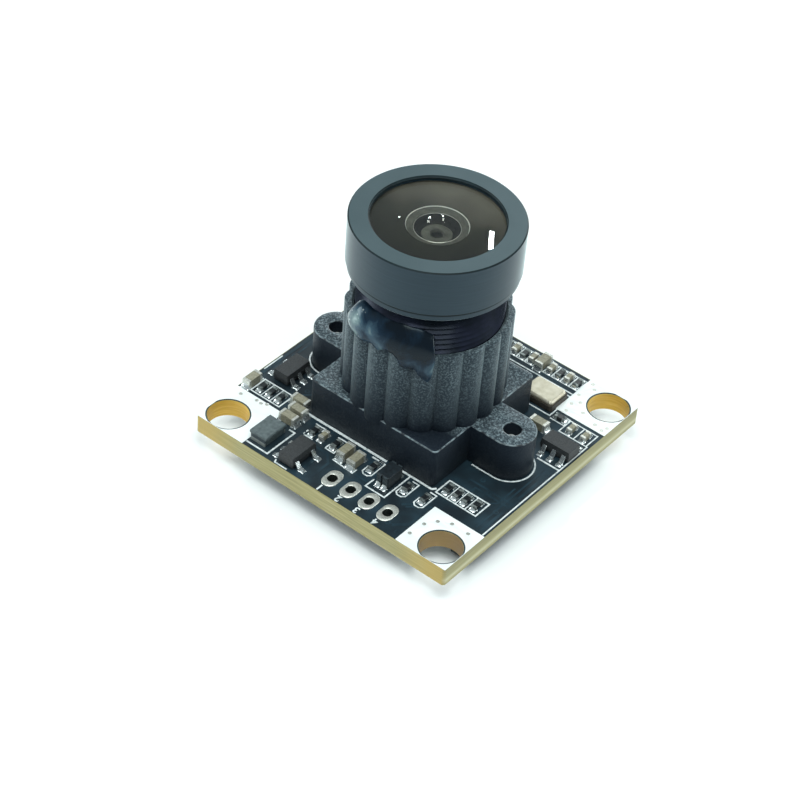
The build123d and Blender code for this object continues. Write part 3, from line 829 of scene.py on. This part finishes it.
outline = rounded(0, 0, 2 * board_half, 2 * board_half, 0.3)
small_bores = [circle(x, y, wire_hole_radius, 32) for x, y in wire_places]
small_bores += [circle(x, y, screw_bore_radius, 32) for x, y in ear_places]
laminate = plate(
    "laminate", [outline] + [circle(x, y, hole_radius) for x, y in hole_places] + small_bores,
    board_low + mask_skin, board_top - mask_skin, 0.0, glass_epoxy,
)
second_finish(
    laminate, amber_epoxy,
    lambda middle, normal: abs(normal.z) < 0.5
    and any(hypot(middle.x - x, middle.y - y) < hole_radius + 0.05 for x, y in hole_places),
)
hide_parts("circuit_board")

mask_loops = [rounded(0, 0, 2 * board_half - 0.1, 2 * board_half - 0.1, 0.25)]
mask_loops += [circle(x, y, hole_radius + 0.02) for x, y in hole_places] + small_bores
for name, low in (("mask_top", board_top - mask_skin), ("mask_under", board_low)):
    plate(name, mask_loops, low, low + mask_skin, 0.0, solder_mask)

land_vias = [
    (8.4, -11.65), (8.6, -10.1), (9.2, -9.15), (10.2, -8.6), (11.8, -8.6),
    (-10.6, -8.3), (-10.1, -8.35), (-9.65, -8.1), (-12.1, -8.6), (-8.5, -9.2),
    (8.5, 12.6), (9.0, 12.1), (8.4, 10.7), (9.1, 10.0), (8.6, 9.4), (10.0, 9.1),
    (8.8, 8.4), (11.6, 8.6), (12.6, 8.9), (12.4, 8.4), (-8.6, 9.2), (-9.6, 8.5), (-11.4, 8.5),
]
lands = [
    rounded(sx * (board_half - 2.515), sy * (board_half - 2.515), 4.97, 4.97, 0.06, 2)
    for sx in (-1, 1)
    for sy in (-1, 1)
]

# Round each hole the land stands back, save for the thin web it keeps along the board's edge
web = board_half - 0.065
land_bores = [
    [(max(-web, min(web, px)), max(-web, min(web, py))) for px, py in circle(x, y, hole_radius + 0.13)]
    for x, y in hole_places
]
via_bores = [circle(x, y, 0.17, 16) for x, y in land_vias]
lands += land_bores + via_bores
tinned = plate(
    "tinned_lands", lands, board_top, board_top + land_rise, 0.012, tinned_copper
)
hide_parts("corner_lands")
plate("land_vias", via_bores, board_top, board_top + 0.02, 0.0, plated_tin)
under_lands = lands[:4] + land_bores
plate(
    "tinned_lands_under", under_lands, board_low - land_rise, board_low, 0.012,
    tinned_copper,
)


def oval(x, y, width, length, steps=16):
    """Upright stadium outline."""
    radius, reach = width / 2, (length - width) / 2
    upper = [(radius * cos(pi * k / steps), reach + radius * sin(pi * k / steps)) for k in range(steps + 1)]
    return [(x + dx, y + dy) for dx, dy in upper] + [(x - dx, y - dy) for dx, dy in upper]


# Each wire pad is a low solder cushion round its hole, lined with a plated tube
bm = bmesh.new()
for x, y in wire_places:
    outer = oval(x, y, 1.35, 2.05)
    turns = [atan2(oy - y, ox - x) for ox, oy in outer]
    hole = [(x + 0.44 * cos(angle), y + 0.44 * sin(angle)) for angle in turns]
    rings = [
        [
            (ox + (hx - ox) * share, oy + (hy - oy) * share, board_top + rise)
            for (ox, oy), (hx, hy) in zip(outer, hole)
        ]
        for share, rise in (
            (0.0, 0.0), (0.04, 0.03), (0.15, 0.055), (0.5, 0.07), (0.85, 0.06), (1.0, 0.03), (1.0, -1.73)
        )
    ]
    ring_skin(bm, rings)
wire_cushions = dress("wire_pad_solder", settle(bm, "wire_pad_solder"), plated_tin, 50)
# Painted shade: the tube walls below the board's face are drawn dark
second_finish(wire_cushions, painted_shade_copper, lambda middle, normal: middle.z < board_top - 0.01)
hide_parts("wire_pads")

# Tracks and screen print

tracks = [
    ([(-5.0, -10.2), (-5.0, -9.2), (-2.2, -9.2), (-1.4, -10.0), (-1.4, -12.3)], 0.22),
    ([(-2.5, -12.2), (-2.5, -9.6)], 0.3),
    ([(0.9, -9.9), (0.9, -9.5), (2.2, -9.5)], 0.18),
    ([(5.9, -9.6), (7.4, -8.1), (7.4, -6.4)], 0.2),
    ([(6.3, -9.6), (7.7, -8.3), (12.2, -8.0)], 0.18),
    ([(6.8, -11.9), (7.8, -10.9), (7.8, -9.0)], 0.3),
    ([(8.0, -4.7), (8.0, -3.6), (12.2, -3.6)], 0.2),
    ([(9.0, -4.7), (9.0, -4.1), (12.2, -4.1)], 0.2),
    ([(12.3, -7.6), (12.3, 1.6)], 0.25),
    ([(11.8, -7.6), (11.8, 1.4)], 0.14),
    ([(10.9, -4.8), (11.4, -4.3), (11.4, -2.0)], 0.14),
    ([(-12.6, -5.4), (-12.6, 7.6)], 0.25),
    ([(-12.1, -1.4), (-12.1, 7.6)], 0.16),
    ([(-8.4, -5.3), (-7.2, -4.1), (-7.2, -2.6)], 0.2),
    ([(-6.6, 7.2), (-4.4, 9.4), (3.4, 9.4)], 0.2),
    ([(-6.2, 6.9), (-4.2, 8.9), (3.6, 8.9)], 0.14),
    ([(-5.8, 6.9), (-4.0, 8.5), (4.0, 8.5)], 0.14),
    ([(-7.9, 12.6), (7.8, 12.6)], 0.2),
    ([(7.2, 2.6), (7.2, 4.6)], 0.25),
    ([(8.2, 7.7), (9.9, 7.7), (11.6, 7.7)], 0.25),
]
drawn("masked_tracks", tracks, board_top, board_top + track_rise, masked_copper)


def via_rings(places):
    """Outer and inner loop of each via that the mask covers."""
    return [loop for x, y in places for loop in (circle(x, y, 0.24, 20), circle(x, y, 0.11, 12))]


vias_on_top = [
    (-2.0, -12.3), (6.4, -11.9), (7.6, -12.2), (-5.2, -8.6), (11.9, -5.2), (10.2, -3.9), (7.4, -4.4),
    (12.3, 0.4), (-8.3, -4.6), (-7.6, 3.4), (-11.8, 2.2), (-7.2, 7.6), (-3.6, 9.9), (2.2, 10.0),
    (-8.0, 10.9), (8.9, -3.0), (-12.1, -1.9), (7.2, 6.9), (12.4, 2.6),
]
vias_below = [
    (-4.4, -7.6), (4.6, -8.4), (6.6, -6.9), (-7.4, -4.2), (7.6, 6.8), (-6.8, 7.4), (2.6, 8.6),
    (-2.4, 9.2), (9.8, 3.4), (-10.2, 3.6), (10.6, -3.4), (-11.4, -2.4), (0.8, -8.8), (4.2, 10.6),
]
plate(
    "masked_vias", via_rings(vias_on_top), board_top, board_top + via_rise, 0.0, masked_copper
)



def box_line(left, near, right, far):
    """A rectangle drawn once round."""
    return [(left, near), (right, near), (right, far), (left, far), (left, near)]


ear_line = [(7.1, -2.15)] + arc(9.2, 0, 2.15, -90, 91, 6) + [(7.1, 2.15)]
printed = [
    ([(-6.5, -6.62), (1.9, -6.62)], 0.24),
    ([(0.7, -6.98), (1.9, -6.98)], 0.16),
    ([(3.4, -6.62), (6.55, -6.62), (6.8, -6.3)], 0.2),
    (ear_line, 0.13),
    ([(-x, y) for x, y in ear_line], 0.13),
    ([(12.72, -7.95), (12.72, 6.0)], 0.12),
    ([(10.5, 2.12), (12.66, 2.12)], 0.16),
    ([(2.5, -8.9), (2.45, -9.95), (4.4, -9.95), (4.4, -6.72)], 0.13),
    (box_line(7.0, -6.65, 11.0, -4.85), 0.13),
    (box_line(-11.85, -7.65, -8.75, -5.85), 0.12),
    ([(-7.95, -12.5), (-5.7, -12.5), (-5.7, -9.15), (-6.3, -9.15)], 0.15),
    ([(-4.75, -12.5), (-4.6, -12.82), (-3.35, -12.82)], 0.13),
    ([(-5.2, -7.1), (-4.2, -7.1), (-4.2, -7.5)], 0.12),
    ([(-5.15, -8.1), (-5.15, -8.75), (-4.15, -8.75)], 0.12),
    ([(-2.75, -8.8), (-1.85, -8.8), (-1.85, -8.2)], 0.12),
    ([(-2.75, -8.2), (-2.75, -8.8)], 0.12),
    ([(-2.8, -7.1), (-1.8, -7.1)], 0.12),
    ([(-1.45, -9.4), (0.75, -9.55), (0.75, -9.0)], 0.12),
    ([(4.5, 6.95), (8.15, 6.95), (8.15, 10.02), (4.6, 10.02)], 0.13),
    (box_line(9.85, 5.95, 11.3, 7.6), 0.11),
    ([(11.3, 7.6), (12.6, 7.6), (12.6, 5.95), (11.3, 5.95)], 0.11),
    ([(8.35, 6.75), (9.75, 6.75), (9.75, 7.65), (8.35, 7.65)], 0.11),
    ([(-2.2, 10.4), (8.2, 10.4)], 0.13),
    ([(-12.8, -4.9), (-12.8, -2.6)], 0.12),
    (box_line(-11.9, 2.6, -8.6, 7.0), 0.12),
]
cradle = [
    (-0.45, -8.0), (-0.45, -8.75), (-0.2, -8.98), (0.2, -8.98), (0.45, -8.75), (0.45, -6.98), (-0.2, -6.98),
]
printed += [([(x + dx, y) for dx, y in cradle], 0.12) for x in (1.6, 5.1, 6.9)]
printed += [([(x, -6.65), (x, -4.85)], 0.1) for x in (8.05, 8.95, 9.9)]
printed += [([(x, -7.65), (x, -5.85)], 0.1) for x in (-10.8, -9.8)]
behind_the_tower = (-0.8, 0.2, 1.1, 2.0, 2.9, 4.85, 5.75, 6.65, 7.55)
printed += [(box_line(x - 0.42, 11.0, x + 0.42, 12.5), 0.1) for x in behind_the_tower]
drawn("screen_print", printed, board_top, board_top + print_rise, screen_ink)
for k, (x, y) in enumerate(wire_places):
    figure = bpy.data.curves.new("pad_number", "FONT")
    figure.body = str(k + 1)
    figure.size = 0.95 * MM
    figure.align_x, figure.align_y = "CENTER", "CENTER"
    figure.extrude = print_rise / 2 * MM
    figure.offset = 0.02 * MM
    sign = bpy.data.objects.new("pad_number", figure)
    mesh = bpy.data.meshes.new_from_object(sign)
    seat = Vector((x - 0.1, y - 1.43, board_top + print_rise / 2)) * MM
    mesh.transform(Matrix.Translation(seat) @ Matrix.Rotation(pi, 4, "Z"))
    mesh.materials.clear()
    bpy.data.objects.remove(sign)
    dress("pad_number_" + str(k + 1), mesh, screen_ink)

frames = []
for node, gap in (("controller_leads", 0.35), ("flash_leads", 0.35), ("under_inductor", 0.3)):
    low, high = span(node)
    frames.append((box_line(low.x - gap, low.y - gap, high.x + gap, high.y + gap), 0.12))
drawn("screen_print_under", frames, board_low - print_rise, board_low, screen_ink)
pad_rings = [circle(x, y, 0.72, 40) for x, y in wire_places] + small_bores[: len(wire_places)]
plate("pad_rings_under", pad_rings, board_low - land_rise, board_low, 0.01, plated_tin)
plate(
    "masked_vias_under", via_rings(vias_below), board_low - via_rise, board_low, 0.0, masked_copper
)

# Lens holder


def lobed(shrink, z, sides=240):
    """Ring of the tower's twenty round lobes, whose middles stand on a circle, drawn in a little."""
    ring = []
    for k in range(sides):
        angle = 2 * pi * k / sides
        off = (angle + pi / 20) % (pi / 10) - pi / 20
        radius = lobe_ring * cos(off) + sqrt(lobe_radius**2 - (lobe_ring * sin(off)) ** 2) - shrink
        ring.append((radius * cos(angle), radius * sin(angle), z))
    return ring


def round_ring(radius, z, sides=240):
    return [(x, y, z) for x, y in circle(0, 0, radius, sides)]


bm = bmesh.new()
ring_skin(
    bm,
    [
        lobed(0.0, foot_top - 0.5),
        lobed(0.0, tower_top - 0.09),
        lobed(0.03, tower_top - 0.03),
        lobed(0.09, tower_top),
        round_ring(holder_bore + 0.19, tower_top),
        round_ring(holder_bore, tower_top - 0.2),
        round_ring(holder_bore, foot_top - 0.5),
    ],
    closed_across=True,
)
tower = dress("holder_tower", settle(bm, "holder_tower"), black_moulding, 28)

half_foot = [(6.5, -ear_radius)] + arc(9.15, 0, ear_radius, -90, 91, 6) + [(6.5, ear_radius)]
half_foot += arc(6.1, 6.1, 0.4, 0, 91, 15) + arc(-6.1, 6.1, 0.4, 90, 181, 15)
foot_loops = [half_foot + [(-x, -y) for x, y in half_foot], circle(0, 0, holder_bore, 96)]
foot_loops += [circle(x, y, 0.75, 40) for x, y in ear_places]
foot = plate(
    "holder_foot", foot_loops, board_top + print_rise, foot_top, 0.09, black_moulding
)
# Painted highlight: the foot's up-facing chamfers take the grey
second_finish(foot, painted_highlight_moulding, lambda middle, normal: 0.2 < normal.z < 0.95)
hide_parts("lens_holder")
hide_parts("lens_holder")

# Screws: pan heads with a cross slot under the board, tips just inside the ears
cross = [
    (0.8, -0.17), (0.8, 0.17), (0.17, 0.17), (0.17, 0.8), (-0.17, 0.8), (-0.17, 0.17),
    (-0.8, 0.17), (-0.8, -0.17), (-0.17, -0.17), (-0.17, -0.8), (0.17, -0.8), (0.17, -0.17),
]
heads = []
for x, y in ear_places:
    heads += [circle(x, y, 1.5, 48), [(x + px, y + py) for px, py in cross]]
screw_faces = plate(
    "screw_faces", heads, board_low - 1.0, board_low - 0.45, 0.06, zinc_steel
)
tip, half_turn, first_turn = foot_top - 0.8, 0.125, board_low + 1.9
shank = [(1.5, board_low - 0.5), (1.5, board_low), (0.72, board_low)]
shank += [
    (0.72 - 0.1 * (k % 2), first_turn + half_turn * k)
    for k in range(int((tip - 0.5 - first_turn) / half_turn))
]
shank += [(0.72, tip - 0.5), (0.3, tip - 0.05), (0.001, tip), (0.001, board_low - 0.5)]
screws = turned("screw_shanks", shank, zinc_steel, ear_places, 48)
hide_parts("holder_screws")
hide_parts("holder_screws")

# Lens barrel and glass

thread_top, thread_low = lens_top - 4.72, tower_top - 0.6
barrel = turned(
    "barrel",
    [
        (5.35, lens_top - 0.1), (5.43, lens_top), (6.9, lens_top), (head_radius, lens_top - 0.1),
        (head_radius, lens_top - 4.02), (6.96, lens_top - 4.06), (6.88, lens_top - 4.08),
        (6.88, lens_top - 4.25), (6.86, lens_top - 4.64), (6.8, lens_top - 4.7), (5.7, lens_top - 4.7),
        (5.7, thread_low), (thread_radius, thread_low), (thread_radius, lens_low + 0.1),
        (5.9, lens_low), (4.2, lens_low), (4.2, lens_low + 8.0), (3.3, lens_low + 8.6),
        (3.3, lens_top - 2.1), (5.35, lens_top - 2.1),
    ],
    slate_anodised, sides=192,
)
# Dark top chamfers, and a painted shadow on the band just under the head's lower edge
second_finish(
    barrel, dark_line_and_shadow_anodised,
    lambda middle, normal: 0.3 < normal.z < 0.95 and middle.z > lens_top - 0.3
    or lens_top - 4.24 < middle.z < lens_top - 4.03,
)
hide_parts("lens_barrel")

# M12 by 0.5 thread as one helix of crest and root
pitch, sides = 0.5, 144
steps = int((thread_top - thread_low + 2 * pitch) / pitch * sides)
bm = bmesh.new()
crests, roots = [], []
for k in range(steps):
    angle = 2 * pi * k / sides
    z = thread_low - pitch + pitch * k / sides
    for line, radius, lift in ((crests, thread_radius, 0.0), (roots, thread_radius - 0.26, pitch / 2)):
        height = min(max(z + lift, thread_low), thread_top)
        line.append(bm.verts.new((radius * cos(angle), radius * sin(angle), height)))
for k in range(steps - 1):
    bm.faces.new((crests[k], crests[k + 1], roots[k + 1], roots[k]))
    if k + 1 + sides < steps:
        bm.faces.new((roots[k], roots[k + 1], crests[k + 1 + sides], crests[k + sides]))
bmesh.ops.scale(bm, vec=(MM, MM, MM), verts=bm.verts)
mesh = bpy.data.meshes.new("barrel_thread")
bm.to_mesh(mesh)
bm.free()
thread = dress("barrel_thread", mesh, thread_anodised, 25)

dome = [(glass_radius * k / 24, lens_top - 0.25 - 0.2 * (k / 24) ** 2) for k in range(24, 0, -1)]
hollow = [(2.5 * k / 12, lens_top - 1.2 - 0.04 * (k / 12) ** 2) for k in range(1, 13)]
front_lens = turned(
    "front_lens",
    [(0.001, lens_top - 1.2)] + hollow + [(2.54, lens_top - 1.28), (glass_radius, lens_top - 0.7)]
    + dome + [(0.001, lens_top - 0.25)],
    optical_glass, smooth=20,
)
second_finish(
    front_lens, edge_black, lambda middle, normal: middle.xy.length > 2.51 and normal.z < 0.5
)
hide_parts("front_glass")
turned(
    "lens_cell",
    [
        (2.56, lens_top - 1.32), (glass_radius, lens_top - 0.75), (glass_radius, lens_top - 2.1),
        (2.56, lens_top - 2.1),
    ],
    edge_black,
)
turned(
    "glass_rim", [(5.3, lens_top - 0.28), (5.3, lens_top - 0.15), (5.36, lens_top - 0.12)],
    dark_line_and_shadow_anodised,
)
# Painted highlight: a thin near-white ring standing for the light caught on the cell's edge
turned(
    "cell_lip",
    [
        (2.44, lens_top - 1.345), (2.46, lens_top - 1.31), (2.49, lens_top - 1.295),
        (2.52, lens_top - 1.31), (2.54, lens_top - 1.35),
    ],
    tinned_copper,
)
spacer = turned(
    "spacer_cone",
    [
        (2.46, lens_top - 1.34), (1.9, lens_top - 1.49), (1.86, lens_top - 1.52), (1.62, lens_top - 1.8),
        (1.5, lens_top - 2.04), (1.24, lens_top - 2.08), (1.24, lens_top - 2.42),
        (3.28, lens_top - 2.42), (3.28, lens_top - 2.12), (2.5, lens_top - 2.1),
    ],
    spacer_black,
)
second_finish(spacer, well_black, lambda middle, normal: middle.xy.length < 1.87)
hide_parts("upper_spacer")
# Painted highlight: a thin bright ring for the light caught on the well's inner rim
turned(
    "well_ring", [(1.87, lens_top - 1.51), (1.84, lens_top - 1.485), (1.82, lens_top - 1.53)],
    zinc_steel,
)
turned(
    "iris_plate",
    [
        (0.5, lens_top - 2.18), (0.56, lens_top - 2.05), (1.16, lens_top - 2.05), (1.23, lens_top - 2.12),
        (1.24, lens_top - 2.26), (0.5, lens_top - 2.26),
    ],
    spacer_black,
)

# Adhesive bead

# Its lower edge, as angle and height above the board: it hangs from the rim and ends in a drip
hem = [
    (-122, 11.7), (-119, 11.05), (-110, 10.95), (-103, 10.8), (-93, 11.2), (-88, 10.9), (-82, 11.3),
    (-77, 11.2), (-74, 10.9), (-70, 10.1), (-61, 10.15), (-57.5, 9.6), (-55, 9.15), (-52, 8.95),
    (-49.5, 9.4), (-48, 10.9),
]


def eased(table, at):
    """Value of a listed edge between its points, eased so that no corner shows."""
    for (a, u), (b, v) in zip(table, table[1:]):
        if at <= b:
            share = (at - a) / (b - a)
            return u + (v - u) * share * share * (3 - 2 * share)
    return table[-1][1]


def hump(at, width):
    """One at its middle, dying away over a width."""
    return exp(-((at / width) ** 2))


bm = bmesh.new()
rows = []
for k in range(149):
    angle = -122 + k / 2
    taper = sqrt(max(0.0, 1 - max(0.0, 1 - (angle + 122) / 11, 1 - (-48 - angle) / 2.5) ** 2))
    swell = 0.1 + 0.24 * hump(angle + 107, 15) + 0.07 * noise.noise(Vector((angle * 0.08, 3.1, 0.2)))
    crown = 13.75 - 0.5 * hump(angle + 48, 9) + 0.12 * noise.noise(Vector((angle * 0.09, 0, 1)))
    bulge = 1.7 - 0.6 * hump(angle + 110, 10)
    low = board_top + eased(hem, angle)
    middle = max(tower_top + 0.25, low + 0.1)
    top = middle + (board_top + crown - middle) * (0.1 + 0.9 * taper)
    row = []
    for j in range(15):
        turn_by = j / 14 * pi / 2
        radius = 5.97 + (0.85 + swell * taper) * sin(turn_by) ** bulge
        row.append((radius, middle + (top - middle) * cos(turn_by)))
    for j in range(1, 9):
        drop = j / 8
        radius = 6.76 + (0.06 + swell * taper) * sqrt(1 - drop**2.5)
        row.append((radius, middle + (low - middle) * drop))
    row.append((5.95, low + 0.3))
    rows.append(
        [bm.verts.new((r * cos(radians(angle)), r * sin(radians(angle)), z)) for r, z in row]
    )
for a, b in zip(rows, rows[1:]):
    for j in range(len(a)):
        bm.faces.new((a[j - 1], a[j], b[j], b[j - 1]))
bm.faces.new(rows[0])
bm.faces.new(rows[-1])
bead = dress("glue_bead", settle(bm, "glue_bead"), adhesive, 50)
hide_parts("adhesive_bead")

# Solder


def side_of(end, body):
    """Side of its body that an end or lead stands on: axis and sign, or None."""
    for axis in (0, 1):
        other = 1 - axis
        if end[0][other] > body[0][other] - 0.2 and end[1][other] < body[1][other] + 0.2:
            if abs(end[0][axis] - body[1][axis]) < 0.06:
                return axis, 1
            if abs(end[1][axis] - body[0][axis]) < 0.06:
                return axis, -1
    return None


def soldered(bm, ends_node, bodies_node, climb, run, spare):
    """Solder under and before each metal end: a thin bed, and a hollow toe that climbs the end."""
    bodies = solids_of(bodies_node)
    for low, high in solids_of(ends_node):
        sides = [side_of((low, high), body) for body in bodies]
        side = next((found for found in sides if found), None)
        if side is None:
            continue
        axis, sign = side
        face = high[axis] if sign > 0 else low[axis]
        inner = face - sign * min(0.3, high[axis] - low[axis])
        on_top = low.z > board_low + 1
        seat, up = (board_top, 1) if on_top else (board_low, -1)
        height = (high.z - low.z) * climb
        middle = (low[1 - axis] + high[1 - axis]) / 2
        half = (high[1 - axis] - low[1 - axis]) / 2 + spare
        stations = [
            (inner - sign * 0.02, 0.035, 1.0), (face, 0.05, 1.0), (face + sign * 0.004, height, 0.94),
            (face + sign * run * 0.25, height * 0.55, 0.97), (face + sign * run * 0.5, height * 0.28, 1.0),
            (face + sign * run * 0.78, height * 0.12, 0.97), (face + sign * run, 0.012, 0.8),
        ]
        rings = []
        for along_it, tall, broad in stations:
            ring = []
            for k in range(9):
                turn_by = pi * k / 8
                point = [0, 0, seat + up * tall * sin(turn_by) ** 0.55]
                point[axis] = along_it
                point[1 - axis] = middle + half * broad * cos(turn_by)
                ring.append(point)
            rings.append(ring)
        rows = [[bm.verts.new(point) for point in ring] for ring in rings]
        for a, b in zip(rows, rows[1:]):
            for k in range(8):
                bm.faces.new((a[k], a[k + 1], b[k + 1], b[k]))
        bm.faces.new(rows[0])
        bm.faces.new(rows[-1])


bm = bmesh.new()
for ends_node, bodies_node, climb, run, spare in (
    ("large_capacitor_ends", "large_capacitors", 0.55, 0.28, 0.06),
    ("small_capacitor_ends", "small_capacitors", 0.6, 0.22, 0.05),
    ("chip_resistor_ends", "chip_resistors", 0.7, 0.22, 0.05),
    ("regulator_leads", "regulator_bodies", 0.2, 0.24, 0.06),
    ("flash_leads", "flash_body", 0.2, 0.26, 0.06),
    ("controller_leads", "controller_body", 0.16, 0.26, 0.05),
    ("coil_end_plates", "power_inductor", 0.35, 0.3, 0.05),
    ("coil_end_plates", "under_inductor", 0.35, 0.3, 0.05),
    ("coil_end_plates", "common_mode_choke", 0.35, 0.3, 0.05),
):
    soldered(bm, ends_node, bodies_node, climb, run, spare)
dress("solder_joints", settle(bm, "solder_joints"), solder, 60)

# Inner parts and chips, on their CAD solids

for name, width, material in (
    ("inner_glass", 0.02, optical_glass),
    ("aperture_stop", 0.02, spacer_black),
    ("rear_glass", 0.02, optical_glass),
    ("rear_retainer", 0.02, spacer_black),
    ("infrared_filter", 0.02, optical_glass),
    ("sensor_package", 0.02, dark_alumina),
    ("sensor_die", 0.01, silicon),
    ("sensor_glass", 0.01, optical_glass),
    ("regulator_bodies", 0.05, moulding_compound),
    ("regulator_leads", 0.02, solder),
    ("controller_body", 0.05, moulding_compound),
    ("controller_leads", 0.02, plated_tin),
    ("flash_body", 0.05, moulding_compound),
    ("flash_leads", 0.02, plated_tin),
    ("power_inductor", 0.05, ferrite),
    ("under_inductor", 0.05, black_ferrite),
    ("common_mode_choke", 0.05, black_ferrite),
    ("coil_end_plates", 0.02, dark_topped_tin),
    ("oscillator_bases", 0.03, dark_alumina),
    ("oscillator_lids", 0.04, lid_plating),
    ("large_capacitors", 0.03, titanate),
    ("large_capacitor_ends", 0.05, plated_tin),
    ("small_capacitors", 0.02, titanate),
    ("small_capacitor_ends", 0.04, plated_tin),
    ("chip_resistors", 0.02, resistor_glaze),
    ("chip_resistor_ends", 0.03, dulled_tin),
):
    soften(name, width, material)


# Stage: table, camera and soft light


def aim(made, place, target, along):
    """Stands a lamp at a place, facing a target, its long side along a direction."""
    back = (Vector(place) - Vector(target)).normalized()
    across = Vector(along).cross(back).normalized()
    turned_to = Matrix((across, back.cross(across), back)).transposed().to_4x4()
    made.matrix_world = Matrix.Translation(Vector(place) * MM) @ turned_to


def softbox(name, place, target, width, length, watts, along=(0, 0, 1)):
    lamp = bpy.data.lights.new(name, "AREA")
    lamp.shape = "RECTANGLE"
    lamp.size, lamp.size_y = width * MM, length * MM
    lamp.energy = watts
    lamp.color = linear("#eef6f6")[:3]
    made = bpy.data.objects.new(name, lamp)
    bpy.context.scene.collection.objects.link(made)
    aim(made, place, target, along)
    return made


table = bpy.data.objects.new("table", bpy.data.meshes.new("table"))
table.data.from_pydata([(-2, -2, 0), (2, -2, 0), (2, 2, 0), (-2, 2, 0)], [], [(0, 1, 2, 3)])
table.data.materials.append(table_white)
bpy.context.scene.collection.objects.link(table)

softbox("overhead", (35, -45, 260), (0, 0, 5), 210, 210, 0.76)
softbox("rear", (-90, 260, 60), (0, 0, 12), 300, 100, 0.44)
softbox("left", (-240, -150, 90), (0, 0, 10), 120, 140, 0.38)
softbox("right", (240, 160, 70), (0, 0, 10), 120, 110, 0.26)
small_lamps = [
    softbox("glint", (-86.4, 170.1, 182.6), (4.55, 0.95, lens_top), 2.4, 19, 0.024, (0.46, -0.55, 0.7)),
    softbox("spark_left", (-119.9, 161.1, 172.2), (0, 0, lens_top), 1.0, 1.9, 0.00044),
    softbox("spark_right", (-115.8, 166.4, 170.0), (0, 0, lens_top), 0.8, 1.9, 0.00033),
    softbox("spark_rim", (-131.8, 151.0, 172.7), (0, 0, lens_top), 0.9, 1.5, 0.0002),
]

# The small lamps make the glass glint; kept off the board's skin, they throw no hard patch on it
board_skin = bpy.data.collections.new("board_skin")
for name in ("mask_top", "masked_tracks", "masked_vias"):
    board_skin.objects.link(bpy.data.objects[name])
for member in board_skin.collection_objects:
    member.light_linking.link_state = "EXCLUDE"
for lamp in small_lamps:
    lamp.light_linking.receiver_collection = board_skin

world = bpy.data.worlds.new("studio")
bpy.context.scene.world = world
world.use_nodes = True
world.node_tree.nodes["Background"].inputs["Color"].default_value = linear("#d6e5ec")
world.node_tree.nodes["Background"].inputs["Strength"].default_value = 0.4

azimuth, elevation, roll = radians(36.131), radians(41.419), radians(4.935)
look_at, distance = Vector((-2.066, -0.102, board_top)), 197.739
focal_pixels, picture_pixels, sensor_width = 2391.453, 800, 36
back = Vector((sin(azimuth) * cos(elevation), -cos(azimuth) * cos(elevation), sin(elevation)))
across = (-back).cross(Vector((0, 0, 1))).normalized()
upright = across.cross(-back)
across, upright = across * cos(roll) + upright * sin(roll), upright * cos(roll) - across * sin(roll)
eye = (look_at + back * distance) * MM
camera = bpy.data.objects.new("camera", bpy.data.cameras.new("camera"))
camera.data.sensor_width = sensor_width
camera.data.lens = focal_pixels / picture_pixels * sensor_width
camera.data.clip_start = 0.01
camera.data.clip_end = 10
camera.matrix_world = Matrix.Translation(eye) @ Matrix((across, upright, back)).transposed().to_4x4()
bpy.context.scene.collection.objects.link(camera)
bpy.context.scene.camera = camera
bpy.context.scene.view_settings.view_transform = "Standard"
